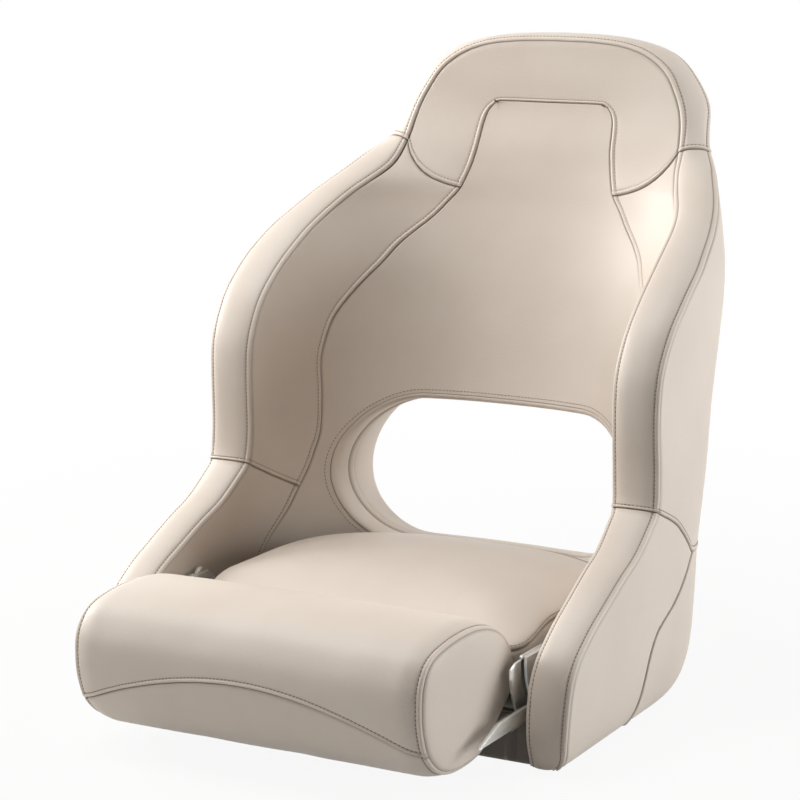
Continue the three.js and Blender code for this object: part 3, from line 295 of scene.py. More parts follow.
def smooth_table(rows):
    """A smooth curve through the rows of a table, read by its first column."""
    rows = np.array(rows, float)
    before = np.vstack([rows[:1], rows[:-1]])
    after = np.vstack([rows[1:], rows[-1:]])
    slopes = (after - before) / (after[:, :1] - before[:, :1])

    def read(key):
        key = np.asarray(key, float)
        i = np.clip(np.searchsorted(rows[:, 0], key) - 1, 0, len(rows) - 2)
        span = (rows[i + 1, 0] - rows[i, 0])[..., None]
        t = np.clip((key[..., None] - rows[i, :1]) / span, 0, 1)
        start, end = rows[i], rows[i + 1]
        rise, fall = slopes[i] * span, slopes[i + 1] * span
        curve = start + t * rise + t**2 * (3 * (end - start) - 2 * rise - fall)
        return np.moveaxis(curve + t**3 * (2 * (start - end) + rise + fall), -1, 0)

    return read


inner_table = smooth_table(INNER_SECTIONS)
outer_table = smooth_table(OUTER_SECTIONS)


def section_at(z, outside):
    """The plan section at a height: half width, centre, depth behind it, and fullness."""
    if outside:
        _, half, centre, back, fullness = outer_table(z / HEIGHT)
        return half * OUTER_HALF, centre * OUTER_REACH, (back - centre) * OUTER_REACH, fullness
    _, half, centre, back = inner_table(z / HEIGHT)
    return half * INNER_HALF, centre * INNER_REACH, (back - centre) * INNER_REACH, INNER_FULLNESS


def face_point(wrap, z, outside):
    """A point on one face of the wall. Wrap is 0 at the middle of the back and 1 where
    the side turns straight."""
    half, centre, depth, fullness = section_at(z, outside)
    turn = np.minimum(np.abs(wrap), 1) * (math.pi / 2)
    across, along = np.sin(turn), np.maximum(np.cos(turn), 0)
    reach = (across**fullness + along**fullness) ** (-1 / fullness)
    ahead = np.maximum(np.abs(wrap) - 1, 0) * FRONT_STRAIGHT
    x, y = np.sign(wrap) * half * across * reach, centre + depth * along * reach - ahead
    return np.stack([x, y, z + 0 * wrap], -1)


def wrap_at_depth(y, z, outside):
    """The wrap at which a face lies at a depth."""
    _, centre, depth, fullness = section_at(z, outside)
    along = np.clip((y - centre) / depth, 0, 1)
    across = (1 - along**fullness) ** (1 / fullness)
    round_the_back = np.arctan2(across, along) / (math.pi / 2)
    return np.where(y <= centre, 1 + (centre - y) / FRONT_STRAIGHT, round_the_back)


# The rim line: the front edge of the wall from the arm's foot to the top of the wing,
# then round the headrest, and its cross seams.
ARM_PROFILE = [
    # shares of the height and of the outer reach
    [-0.018, -0.336],
    [0.03, -0.361],
    [0.091, -0.356],
    [0.136, -0.321],
    [0.173, -0.24],
    [0.2, -0.153],
    [0.226, -0.065],
    [0.249, 0.023],
    [0.28, 0.098],
    [0.304, 0.14],
    [0.351, 0.151],
    [0.406, 0.149],
    [0.46, 0.147],
    [0.513, 0.158],
    [0.566, 0.205],
    [0.609, 0.277],
    [0.645, 0.36],
    [0.676, 0.444],
    [0.702, 0.528],
    [0.729, 0.609],
    [0.754, 0.684],
    [0.779, 0.749],
]
HEADREST_RIM = [
    # share of the height, wrap on the inner face, wrap on the outer face
    [0.813, 0.603, 0.708],
    [0.86, 0.609, 0.762],
    [0.903, 0.608, 0.753],
    [0.938, 0.585, 0.715],
    [0.965, 0.488, 0.592],
    [0.981, 0.362, 0.391],
    [0.988, 0.207, 0.208],
    [0.99, 0, 0],
]
CROSS_ROW, JUNCTION_ROW = 9, len(ARM_PROFILE)


def arm_wraps(height, depth):
    """Where the arm's profile lies on the wall's inner and outer face."""
    y, z = depth * OUTER_REACH, height * HEIGHT
    return [float(wrap_at_depth(y, z, outside)) for outside in (False, True)]


rim_rows = [[height * HEIGHT, *arm_wraps(height, depth)] for height, depth in ARM_PROFILE]
rim_rows += [[height * HEIGHT, inner, outer] for height, inner, outer in HEADREST_RIM]
TOP_ROW = len(rim_rows) - 1
rim_table = smooth_table([[i, *row] for i, row in enumerate(rim_rows)])


def rim_line(row, outside):
    """Wrap and height of the rim line on one face, by its row."""
    _, z, inner, outer = rim_table(row)
    return (outer if outside else inner), z


INSERT_SEAM = [
    # wrap and share of the height, from the seat up to the middle of the headrest
    [0.98, 0.09],
    [0.85, 0.15],
    [0.775, 0.182],
    [0.728, 0.207],
    [0.69, 0.242],
    [0.66, 0.27],
    [0.642, 0.3],
    [0.626, 0.335],
    [0.635, 0.394],
    [0.653, 0.453],
    [0.64, 0.498],
    [0.613, 0.533],
    [0.548, 0.575],
    [0.484, 0.612],
    [0.444, 0.642],
    [0.403, 0.664],
    [0.359, 0.686],
    [0.321, 0.711],
    [0.286, 0.737],
    [0.272, 0.771],
    [0.266, 0.808],
    [0.266, 0.845],
    [0.258, 0.868],
    [0.232, 0.882],
    [0.197, 0.885],
    [0, 0.885],
]
INSERT_FOOT, INSERT_CROSS, INSERT_CORNER, INSERT_TOP = 0.2, 4, 18, 23
INSERT_END = len(INSERT_SEAM) - 1


def seam_through(rows):
    """A seam through rows of wrap and share of the height, read by its row."""
    table = smooth_table([[i, *row] for i, row in enumerate(rows)])

    def read(row):
        _, wrap, height = table(row)
        return wrap, height * HEIGHT

    return read


insert_line = seam_through(INSERT_SEAM)


# How the panels are made: each is a grid between its four seams, close-set near them,
# rolled down into the seam, and closed at the back. An edge is plain, lapped (folded
# over its neighbour, with a raised fold and a row of stitches) or open (under a board).
STITCH_LINE = 6.0
EDGE_STEPS = [0.0, 0.3, 0.8, 1.5, 2.4, 3.4, 4.4, 5.2, 6.0, 6.8, 8.0, 10.0, 13.5, 19.0]
EDGE_SHARE = 0.42
SEAM_DEPTH = 2.8
PLAIN_ROLL = 5.0
LAP_ROLL = 1.5
FOLD_RISE = 1.1
FOLD_MIDDLE, FOLD_WIDTH = 3.0, 1.9
STITCH_SINK, STITCH_WIDTH, STITCH_SHADE = 0.55, 0.9, 0.3
PANEL_STEP = 7.0
PAD_DEPTH = 9.0
SWELL_REACH = 25.0
SPAN_POINTS, STITCH_POINTS = 33, 400
NUDGE = 0.004
THREAD_SINK_SHARE = 0.6


def edge_rise(distance, kind):
    """How far the cover stands out of its surface at a distance from an edge, and how much
    painted seam shade it takes there, from 0 to 1."""
    if kind == "open":
        return 0 * distance, 0 * distance
    roll = PLAIN_ROLL if kind == "plain" else LAP_ROLL
    t = np.clip(distance / roll, 0, 1)
    sunk = 1 - np.sqrt(np.maximum(1 - (1 - t) ** 2, 0))
    rise = -SEAM_DEPTH * sunk
    shade = sunk
    if kind == "lapped":
        rise = rise + FOLD_RISE * np.exp(-(((distance - FOLD_MIDDLE) / FOLD_WIDTH) ** 2))
        valley = np.exp(-(((distance - STITCH_LINE) / STITCH_WIDTH) ** 2))
        rise = rise - STITCH_SINK * valley
        # painted shade along the sunk stitch line
        shade = np.maximum(shade, STITCH_SHADE * valley)
    return rise, shade


def edge_stops(length, first, last, step=PANEL_STEP):
    """Fixed distances from both ends of a length, and how many even steps lie between."""
    fine = [d for d in EDGE_STEPS if d < length * EDGE_SHARE]
    head = fine if first != "open" else [0.0]
    tail = fine if last != "open" else [0.0]
    count = max(int((length - head[-1] - tail[-1]) / step), 2)
    return np.array(head), np.array(tail), np.arange(1, count) / count


def spread_stops(stops, widths):
    """The stops as shares of each width, squeezed where a width is too small for them."""
    head, tail, middle = stops
    widths = widths[:, None]
    squeeze = np.minimum(1, EDGE_SHARE * widths / max(head[-1], tail[-1], 1e-6)) / widths
    start, end = head[None] * squeeze, 1 - tail[None, ::-1] * squeeze
    return np.concatenate([start, start[:, -1:] + (end[:, :1] - start[:, -1:]) * middle, end], axis=1)


def unit(vectors):
    return vectors / np.maximum(np.linalg.norm(vectors, axis=-1, keepdims=True), 1e-9)


def span_of(points, axis=0):
    """How long each line of points is."""
    return np.linalg.norm(np.diff(points, axis=axis), axis=-1).sum(axis)


def new_piece(name, points, faces, shades=None):
    """A smooth mesh from points in mm, with the painted seam shade of each point."""
    mesh = bpy.data.meshes.new(name)
    mesh.from_pydata([tuple(p) for p in (np.asarray(points) + [0, 0, FOOT_DEPTH]) * MM], [], faces)
    mesh.update()
    piece = bpy.data.objects.new(name, mesh)
    bpy.context.scene.collection.objects.link(piece)
    for polygon in mesh.polygons:
        polygon.use_smooth = True
    if shades is not None:
        attribute = mesh.attributes.new("seam_depth", "FLOAT", "POINT")
        attribute.data.foreach_set("value", np.asarray(shades, np.float32).ravel())
    return piece


def alone(piece):
    """Selects one piece and makes it the active one."""
    for other in bpy.context.selected_objects:
        other.select_set(False)
    piece.select_set(True)
    bpy.context.view_layer.objects.active = piece


def faced_outwards(piece):
    alone(piece)
    bpy.ops.object.mode_set(mode="EDIT")
    bpy.ops.mesh.select_all(action="SELECT")
    bpy.ops.mesh.normals_make_consistent(inside=False)
    bpy.ops.object.mode_set(mode="OBJECT")
    return piece


def closed_pad(name, front, back, shades):
    """A pad from a front grid, a back grid and the edges between them."""
    rows, columns = front.shape[:2]
    sheet = rows * columns
    at = np.arange(sheet).reshape(rows, columns)
    quads = np.stack([at[:-1, :-1], at[:-1, 1:], at[1:, 1:], at[1:, :-1]], -1).reshape(-1, 4)
    ring = np.concatenate([at[0, :], at[1:, -1], at[-1, -2::-1], at[-2:0:-1, 0]])
    after = np.roll(ring, -1)
    sides = np.stack([ring, ring + sheet, after + sheet, after], -1)
    faces = np.concatenate([quads, quads[:, ::-1] + sheet, sides]).tolist()
    points = np.concatenate([front.reshape(-1, 3), back.reshape(-1, 3)])
    # The back grid takes full painted seam shade, so the edges between the grids are painted dark.
    piece = new_piece(name, points, faces, np.concatenate([shades.ravel(), np.ones(sheet)]))
    return faced_outwards(piece)


def stitch_row(spot, along, index, across, facing):
    """The points and upward directions of a row of stitches beside one edge."""
    uv = (across, along) if index < 2 else (along, across)
    line = spot(*uv)
    other_u = np.clip(uv[0] + NUDGE, 0, 1)
    other_v = np.clip(uv[1] + NUDGE, 0, 1)
    along_u = spot(other_u, uv[1]) - spot(other_u - 2 * NUDGE, uv[1])
    along_v = spot(uv[0], other_v) - spot(uv[0], other_v - 2 * NUDGE)
    up = unit(np.cross(along_u, along_v) * facing)
    return line - up * STITCH_SINK * THREAD_SINK_SHARE, up


def sewn_panel(
    name, spot, kinds, outward, body, node, step=PANEL_STEP, swell=0.0, depth=PAD_DEPTH, sheet=VINYL
):
    """spot(u, v) gives points on the wall. kinds names the edges at u=0, u=1, v=0, v=1.
    Returns the piece and its stitch rows."""
    shares = np.linspace(0, 1, SPAN_POINTS)
    half = np.full(SPAN_POINTS, 0.5)
    span_u, span_v = span_of(spot(shares, half)), span_of(spot(half, shares))
    coarse = spot(*np.meshgrid(shares, shares))
    widths, lengths = span_of(coarse, 1), span_of(coarse, 0)
    u_stops = edge_stops(span_u, kinds[0], kinds[1], step)
    v_stops = edge_stops(span_v, kinds[2], kinds[3], step)
    first_v = spread_stops(v_stops, np.array([span_v]))[0]
    uu = spread_stops(u_stops, np.interp(first_v, shares, widths))
    vv = spread_stops(v_stops, np.interp(uu[len(uu) // 2], shares, lengths)).T
    width = np.interp(vv, shares, widths)
    length = np.interp(uu, shares, lengths)
    base = spot(uu, vv)
    normal = unit(np.cross(np.gradient(base, axis=1), np.gradient(base, axis=0)))
    facing = np.sign(np.sum(normal * outward(base), -1).mean())
    normal = normal * facing
    distances = [uu * width, (1 - uu) * width, vv * length, (1 - vv) * length]
    rise = np.zeros_like(uu)
    shade = np.zeros_like(uu)
    for distance, kind in zip(distances, kinds):
        one_rise, one_shade = edge_rise(distance, kind)
        rise = np.where(np.abs(one_rise) > np.abs(rise), one_rise, rise)
        shade = np.maximum(shade, one_shade)
    inside = np.minimum.reduce([d for d, kind in zip(distances, kinds) if kind != "open"] or distances[:1])
    rise = rise + swell * (1 - np.exp(-inside / SWELL_REACH))
    front = base + normal * rise[..., None]
    back = base - normal * depth
    piece = closed_pad(name, front, back, shade)
    piece.data.materials.append(sheet)
    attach(piece, body)
    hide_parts(node)
    rows = []
    along = np.linspace(0, 1, STITCH_POINTS)
    for index, kind in enumerate(kinds):
        if kind == "lapped":
            inset = STITCH_LINE / np.interp(along, shares, widths if index < 2 else lengths)
            rows.append(stitch_row(spot, along, index, 1 - inset if index % 2 else inset, facing))
    return piece, rows


# Stitches: bonded polyester thread, one short raised stitch every few millimetres,
# modelled once and copied along each row.
STITCH_PITCH = 4.3
STITCH_LENGTH = 3.1
THREAD_RADIUS, THREAD_SIDES = 0.42, 5
STITCH_RINGS = [
    # share of the stitch's length, lift in thread widths, share of the thread's radius
    (-0.5, -0.5, 0.5),
    (-0.36, 0.1, 1.0),
    (0, 0.42, 1.0),
    (0.36, 0.1, 1.0),
    (0.5, -0.5, 0.5),
]


def one_stitch():
    """A short thread that dives into the vinyl at both ends."""
    points, faces = [], []
    for share, lift, size in STITCH_RINGS:
        for k in range(THREAD_SIDES):
            angle = 2 * math.pi * k / THREAD_SIDES
            across = THREAD_RADIUS * size * math.cos(angle)
            up = lift * THREAD_RADIUS * 2 + THREAD_RADIUS * size * math.sin(angle)
            points.append((share * STITCH_LENGTH, across, up))
    for first in range(0, len(points) - THREAD_SIDES, THREAD_SIDES):
        for k in range(THREAD_SIDES):
            a, b = first + k, first + (k + 1) % THREAD_SIDES
            faces.append((a, b, b + THREAD_SIDES, a + THREAD_SIDES))
    faces.append(tuple(reversed(range(THREAD_SIDES))))
    faces.append(tuple(range(len(points) - THREAD_SIDES, len(points))))
    return np.array(points), faces


ONE_STITCH, ONE_STITCH_FACES = one_stitch()


def travelled(line):
    """How far along a line each of its points lies."""
    return np.concatenate([[0], np.cumsum(np.linalg.norm(np.diff(line, axis=0), axis=-1))])


def read_line(places, travel, values):
    """What a line's values are at other places along it."""
    return np.stack([np.interp(places, travel, column) for column in values.T], -1)


def stitch_rows(name, rows, body):
    points, faces = [], []
    for line, side in rows:
        travel = travelled(line)
        count = int(travel[-1] / STITCH_PITCH)
        if count < 2:
            continue
        places = (np.arange(count) + 0.5) * travel[-1] / count
        centre, up = read_line(places, travel, line), read_line(places, travel, side)
        along = unit(read_line(places + 1.0, travel, line) - read_line(places - 1.0, travel, line))
        across = unit(np.cross(up, along))
        for c, a, b, n in zip(centre, along, across, up):
            first = len(points) * len(ONE_STITCH)
            points.append(c + ONE_STITCH @ np.array([a, b, n]))
            faces += [tuple(first + i for i in face) for face in ONE_STITCH_FACES]
    piece = new_piece(name, np.concatenate(points), faces)
    piece.data.materials.append(THREAD)
    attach(piece, body)
    return piece


# The inside of the bucket: the plain centre panel, a wing panel and an arm panel on each
# side, and the headrest's arch, all of vinyl sewn over foam.
def lerp(a, b, share):
    return a + (b - a) * share


SITTER = np.array([0.0, -200.0, 300.0])
BUCKET_MIDDLE = np.array([0.0, 60.0, 0.0])
LEVEL = np.array([1.0, 1.0, 0.0])


def to_sitter(points):
    return SITTER - points * LEVEL


def away_from_sitter(points):
    return (points - BUCKET_MIDDLE) * LEVEL


def coons(left, right, start=None, end=None):
    """A filled patch in wrap and height between its four seams."""

    def read(u, v):
        a, b = np.array(left(v)), np.array(right(v))
        here = a + (b - a) * u
        for edge, at, weight in ((start, 0.0, 1 - v), (end, 1.0, v)):
            if edge is None:
                continue
            low, high = np.array(left(at + 0 * v)), np.array(right(at + 0 * v))
            here = here + (np.array(edge(u)) - (low + (high - low) * u)) * weight
        return here

    return read


def flipped(line, side):
    """A seam on the right as it runs on one side: 1 is right and -1 is left."""
    wrap, z = line
    return wrap * side, z


HEADREST_SAG = 9.0
ARM_FOOT_ROW = 0.5


def headrest_seam(u, side):
    """The headrest's lower seam sags from the centre panel's corner to the rim."""
    corner_wrap, corner_z = insert_line(INSERT_CORNER)
    rim_wrap, rim_z = rim_line(JUNCTION_ROW, False)
    sag = HEADREST_SAG * 4 * u * (1 - u)
    return lerp(corner_wrap, rim_wrap, u) * side, lerp(corner_z, rim_z, u) - sag


def on_wall(patch, outside):
    return lambda u, v: face_point(*patch(u, v), outside)


def top_seam(u):
    """The centre panel's top edge, which lies on the headrest's lower seam."""
    wrap, z = insert_line(lerp(INSERT_END, INSERT_TOP, np.abs(2 * u - 1)))
    return wrap * np.sign(u - 0.5), z


seat_stitches = []
insert_patch = coons(
    lambda v: flipped(insert_line(lerp(INSERT_FOOT, INSERT_TOP, v)), -1),
    lambda v: insert_line(lerp(INSERT_FOOT, INSERT_TOP, v)),
    end=top_seam,
)
back_insert, _ = sewn_panel(
    "back_insert_cover", on_wall(insert_patch, False), ("plain", "plain", "open", "plain"),
    to_sitter, "seat", "back_insert", step=5.0,
)
for side, label in ((1, "right"), (-1, "left")):
    wing = coons(
        lambda v: flipped(insert_line(lerp(INSERT_CROSS, INSERT_CORNER, v)), side),
        lambda v: flipped(rim_line(lerp(CROSS_ROW, JUNCTION_ROW, v), False), side),
        end=lambda u: headrest_seam(u, side),
    )
    _, rows = sewn_panel(
        f"wing_inner_cover_{label}", on_wall(wing, False), ("lapped", "plain", "lapped", "plain"),
        to_sitter, "seat", f"wing_inner_{label}", swell=1.5,
    )
    seat_stitches += rows
    arm = coons(
        lambda v: flipped(insert_line(lerp(INSERT_FOOT, INSERT_CROSS, v)), side),
        lambda v: flipped(rim_line(lerp(ARM_FOOT_ROW, CROSS_ROW, v), False), side),
    )
    _, rows = sewn_panel(
        f"arm_inner_cover_{label}", on_wall(arm, False), ("lapped", "plain", "open", "plain"),
        to_sitter, "seat", f"arm_inner_{label}",
    )
    seat_stitches += rows


def arch(share, line):
    """A place along an arch from the right side over the middle to the left."""
    wrap, z = line(np.abs(2 * share - 1))
    return wrap * np.where(share < 0.5, 1, -1), z


headrest_patch = coons(
    lambda v: arch(v, lambda s: insert_line(lerp(INSERT_END, INSERT_CORNER, s))),
    lambda v: arch(v, lambda s: rim_line(lerp(TOP_ROW, JUNCTION_ROW, s), False)),
    start=lambda u: headrest_seam(u, 1),
    end=lambda u: headrest_seam(u, -1),
)
_, rows = sewn_panel(
    "headrest_pad_cover", on_wall(headrest_patch, False), ("lapped", "plain", "lapped", "lapped"),
    to_sitter, "seat", "headrest_pad", swell=2.0,
)
seat_stitches += rows


# The outside of the bucket: side, arm, back and headrest panels, sewn along the corner
# seams and the low cross seam that runs round the back.
OUTER_CROSS = [
    [1.01, 0.304],
    [0.89, 0.275],
    [0.824, 0.25],
    [0.77, 0.225],
    [0.735, 0.21],
    [0.654, 0.204],
    [0.582, 0.203],
    [0.529, 0.203],
    [0.367, 0.203],
    [0, 0.203],
]
OUTER_REAR = [
    [0.735, 0.21],
    [0.792, 0.178],
    [0.874, 0.147],
    [1.075, 0.091],
    [1.2, -0.018],
]
CORNER_SEAM = [
    [0.529, 0.203],
    [0.517, 0.3],
    [0.512, 0.4],
    [0.521, 0.5],
    [0.54, 0.6],
    [0.558, 0.68],
    [0.575, 0.745],
    [0.584, 0.8],
]
CROSS_TEE, CROSS_CORNER, CROSS_MIDDLE = 4, 7, 9


outer_cross = seam_through(OUTER_CROSS)
outer_rear = seam_through(OUTER_REAR)
corner_seam = seam_through(CORNER_SEAM)
REAR_END, CORNER_END = len(OUTER_REAR) - 1, len(CORNER_SEAM) - 1


def cross_to_rim(first, u, side):
    """The low cross seam from one of its rows to the rim, which it meets end to end."""
    row = lerp(first, 0, u)
    wrap, z = outer_cross(row)
    rim_wrap, rim_z = rim_line(CROSS_ROW, True)
    end_wrap, end_z = outer_cross(0)
    near = np.maximum(1 - row / CROSS_TEE, 0)
    return (wrap + (rim_wrap - end_wrap) * near) * side, z + (rim_z - end_z) * near


for side, label in ((1, "right"), (-1, "left")):
    side_panel = coons(
        lambda v: flipped(corner_seam(v * CORNER_END), side),
        lambda v: flipped(rim_line(lerp(CROSS_ROW, JUNCTION_ROW, v), True), side),
        start=lambda u: cross_to_rim(CROSS_CORNER, u, side),
    )
    _, rows = sewn_panel(
        f"side_outer_cover_{label}", on_wall(side_panel, True), ("plain", "plain", "lapped", "plain"),
        away_from_sitter, "seat", f"side_outer_{label}",
    )
    seat_stitches += rows
    arm_panel = coons(
        lambda v: flipped(outer_rear(lerp(REAR_END, 0, v)), side),
        lambda v: flipped(rim_line(lerp(0, CROSS_ROW, v), True), side),
        end=lambda u: cross_to_rim(CROSS_TEE, u, side),
    )
    sewn_panel(
        f"arm_outer_cover_{label}", on_wall(arm_panel, True), ("plain", "plain", "plain", "plain"),
        away_from_sitter, "seat", f"arm_outer_{label}",
    )
back_patch = coons(
    lambda v: flipped(corner_seam(v * CORNER_END), -1),
    lambda v: corner_seam(v * CORNER_END),
)
back_outer, rows = sewn_panel(
    "back_outer_cover", on_wall(back_patch, True), ("lapped", "lapped", "lapped", "plain"),
    away_from_sitter, "seat", "back_outer", step=5.0,
)
seat_stitches += rows


def low_cross(u):
    """The cross seam below the opening, from the left tee to the right one."""
    wrap, z = outer_cross(lerp(CROSS_MIDDLE, CROSS_TEE, np.abs(2 * u - 1)))
    return wrap * np.sign(u - 0.5), z


lower_patch = coons(
    lambda v: flipped(outer_rear(lerp(REAR_END, 0, v)), -1),
    lambda v: outer_rear(lerp(REAR_END, 0, v)),
    end=low_cross,
)
back_lower, rows = sewn_panel(
    "back_lower_cover", on_wall(lower_patch, True), ("lapped", "lapped", "plain", "plain"),
    away_from_sitter, "seat", "back_lower", step=6.0,
)
seat_stitches += rows


BACK_TOP_ROW = TOP_ROW - 0.5


def headrest_foot(u):
    """The back panel's lower edge: level, then rising to the rim at both ends."""
    share = 2 * u - 1
    rim_wrap, rim_z = rim_line(JUNCTION_ROW, True)
    corner_wrap, corner_z = corner_seam(CORNER_END)
    past = np.clip((np.abs(share) * rim_wrap - corner_wrap) / (rim_wrap - corner_wrap), 0, 1)
    return share * rim_wrap, lerp(corner_z, rim_z, past)


def headrest_top(u):
    """The back panel's top edge, which rises to the rim's top in the middle."""
    share = 2 * u - 1
    wrap, z = rim_line(BACK_TOP_ROW, True)
    _, top_z = rim_line(TOP_ROW, True)
    return share * wrap, lerp(z, top_z, 1 - share**2)


headrest_back_patch = coons(
    lambda v: flipped(rim_line(lerp(JUNCTION_ROW, BACK_TOP_ROW, v), True), -1),
    lambda v: rim_line(lerp(JUNCTION_ROW, BACK_TOP_ROW, v), True),
    start=headrest_foot,
    end=headrest_top,
)
_, rows = sewn_panel(
    "headrest_back_cover", on_wall(headrest_back_patch, True), ("plain", "plain", "lapped", "plain"),
    away_from_sitter, "seat", "headrest_back", swell=2.0,
)
seat_stitches += rows


# The rim: a crowned strip that closes the wall's front edge, sewn from a lower and an
# upper length on each side and one round the headrest.
RIM_CROWN = 8.0
ROW_NUDGE = 0.05
RIM_OUTWARD = np.array([0.0, -1.0, 0.35])
RIM_ARCH_MIDDLE = np.array([0.0, 500.0, 500.0])


def rim_spot(row, across):
    """A point straight across the wall's edge, from its inner face to its outer one."""
    inner = face_point(*rim_line(row, False), False)
    outer = face_point(*rim_line(row, True), True)
    return inner + (outer - inner) * across[..., None]


def rim_surface(row, across):
    """The strip's surface, crowned across its width."""
    base = rim_spot(row, across)
    ahead = rim_spot(np.minimum(row + ROW_NUDGE, TOP_ROW), 0 * across + 0.5)
    behind = rim_spot(np.maximum(row - ROW_NUDGE, 0), 0 * across + 0.5)
    sideways = rim_spot(row, 0 * across + 1.0) - rim_spot(row, 0 * across)
    outward = unit(np.cross(sideways, ahead - behind))
    crown = RIM_CROWN * (1 - np.abs(2 * across - 1) ** 3)
    return base + outward * crown[..., None]


def mirrored(points, side):
    return points * np.array([side, 1.0, 1.0])


for side, label in ((1, "right"), (-1, "left")):
    for part, first, last, kinds in (
        ("lower", 0.0, CROSS_ROW, ("lapped", "lapped", "plain", "plain")),
        ("upper", CROSS_ROW, JUNCTION_ROW, ("lapped", "lapped", "lapped", "plain")),
    ):
        _, rows = sewn_panel(
            f"rim_{part}_cover_{label}",
            lambda u, v: mirrored(rim_surface(lerp(first, last, v), u), side),
            kinds, lambda points: RIM_OUTWARD + 0 * points, "seat", f"rim_{part}_{label}",
        )
        seat_stitches += rows


def headrest_rim_spot(u, v):
    """The rim's arch, from the right side over the top to the left."""
    points = rim_surface(lerp(TOP_ROW, JUNCTION_ROW, np.abs(2 * v - 1)), u)
    return points * np.stack([np.where(v < 0.5, 1.0, -1.0), np.ones_like(v), np.ones_like(v)], -1)


_, rows = sewn_panel(
    "headrest_rim_cover", headrest_rim_spot, ("lapped", "lapped", "lapped", "lapped"),
    lambda points: points - RIM_ARCH_MIDDLE, "seat", "headrest_rim",
)
seat_stitches += rows


# The opening through the lower back: a padded facing that rolls in from the panel, a
# welt, and a plain sleeve through to the back.
OPENING_HALF_WIDTH = 180.0
OPENING_HALF_HEIGHT = 80.0
OPENING_CENTRE = 178.5
SLEEVE_FLARE = 4.0
FACING_REACH = 8.5
SLEEVE_START, SLEEVE_END = 39.0, 12.0
FACING_PROFILE = [
    # out from the opening, depth into the wall, painted seam shade
    (9.0, 4.0, 1.0), (8.6, 2.0, 1.0), (8.0, 0.6, 0.5), (7.0, 0.0, 0.1), (5.6, 0.0, 0.0),
    (4.2, 0.6, 0.0), (2.9, 1.9, 0.0), (1.9, 3.9, 0.0), (1.2, 6.6, 0.0), (0.7, 10.0, 0.0),
    (0.5, 14.0, 0.0), (0.5, 18.0, 0.0), (0.6, 22.0, 0.0), (1.2, 23.6, 0.3), (2.9, 24.6, 1.0),
    (1.2, 25.4, 0.6), (-0.6, 26.6, 0.0), (-1.4, 28.8, 0.0), (-1.4, 31.0, 0.0), (-0.6, 33.2, 0.0),
    (1.2, 34.4, 0.6), (2.8, 35.2, 1.0), (1.2, 36.0, 0.5), (0.4, 37.2, 0.0),
]
OUTER_FACING_PROFILE = [
    # the same, from the sleeve's far end out to the back panel
    (4.2, 10.0, 0.0), (4.5, 6.5, 0.0), (5.0, 3.5, 0.0), (5.8, 1.4, 0.0), (6.8, 0.3, 0.0),
    (7.6, 0.2, 0.1), (8.2, 0.8, 0.5), (8.7, 2.2, 1.0), (9.0, 4.0, 1.0),
]
TURNED_UNDER = [
    # out from the opening, whether from the outer face, how far back from that face
    (8.8, True, -9.0), (7.4, True, -13.0), (7.4, False, 13.0), (8.2, False, 9.0),
]
FACING_POINTS = 160
OPENING_STRAIGHT = OPENING_HALF_WIDTH - OPENING_HALF_HEIGHT


def stadium(grow, count=FACING_POINTS):
    """Points round the opening, grown outwards, from the middle of its foot."""
    bend = math.pi * OPENING_HALF_HEIGHT
    travel = (4 * OPENING_STRAIGHT + 2 * bend) * np.arange(count) / count
    to_top = travel - OPENING_STRAIGHT - bend
    to_left = to_top - 2 * OPENING_STRAIGHT
    right_turn = np.clip((travel - OPENING_STRAIGHT) / OPENING_HALF_HEIGHT, 0, math.pi)
    left_turn = np.clip(to_left / OPENING_HALF_HEIGHT, 0, math.pi)
    angle = right_turn + left_turn - math.pi / 2
    x = np.clip(travel, 0, OPENING_STRAIGHT) - np.clip(to_top, 0, 2 * OPENING_STRAIGHT)
    x = x + np.maximum(to_left - bend, 0)
    radius = OPENING_HALF_HEIGHT + grow
    return x + radius * np.cos(angle), radius * np.sin(angle) + OPENING_CENTRE


def face_depth(x, z, outside):
    """The depth of one face of the back at a width and a height."""
    half, centre, depth, fullness = section_at(z, outside)
    rise = np.maximum(1 - (np.abs(x) / half) ** fullness, 0)
    return centre + depth * rise ** (1 / fullness)


def facing_rings():
    """Rings round the opening: the front facing, the sleeve, the facing at the back, and
    the edges turned under behind the panels."""
    rings, shades = [], []
    for out, depth, shade in FACING_PROFILE:
        x, z = stadium(out)
        rings.append(np.stack([x, face_depth(x, z, False) + depth, z], -1))
        shades.append(shade)
    for share in (0.0, 0.25, 0.5, 0.75, 1.0):
        x, z = stadium(SLEEVE_FLARE * share)
        near, far = face_depth(x, z, False) + SLEEVE_START, face_depth(x, z, True) - SLEEVE_END
        rings.append(np.stack([x, near + (far - near) * share, z], -1))
        shades.append(0.0)
    for out, depth, shade in OUTER_FACING_PROFILE:
        x, z = stadium(out)
        rings.append(np.stack([x, face_depth(x, z, True) - depth, z], -1))
        shades.append(shade)
    # The edges turned under behind the panels take full painted seam shade.
    for out, outside, depth in TURNED_UNDER:
        x, z = stadium(out)
        rings.append(np.stack([x, face_depth(x, z, outside) + depth, z], -1))
        shades.append(1.0)
    return np.array(rings), np.array(shades)


lining_rings, ring_shades = facing_rings()
at = np.arange(len(lining_rings) * FACING_POINTS).reshape(-1, FACING_POINTS)
above, beside = np.roll(at, -1, axis=0), np.roll(at, -1, axis=1)
lining_faces = np.stack([at, beside, np.roll(above, -1, axis=1), above], -1).reshape(-1, 4).tolist()
lining_shades = np.repeat(ring_shades, FACING_POINTS)
lining = new_piece("opening_lining_cover", lining_rings.reshape(-1, 3), lining_faces, lining_shades)
faced_outwards(lining)
lining.data.materials.append(VINYL)
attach(lining, "seat")
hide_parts("opening_lining")

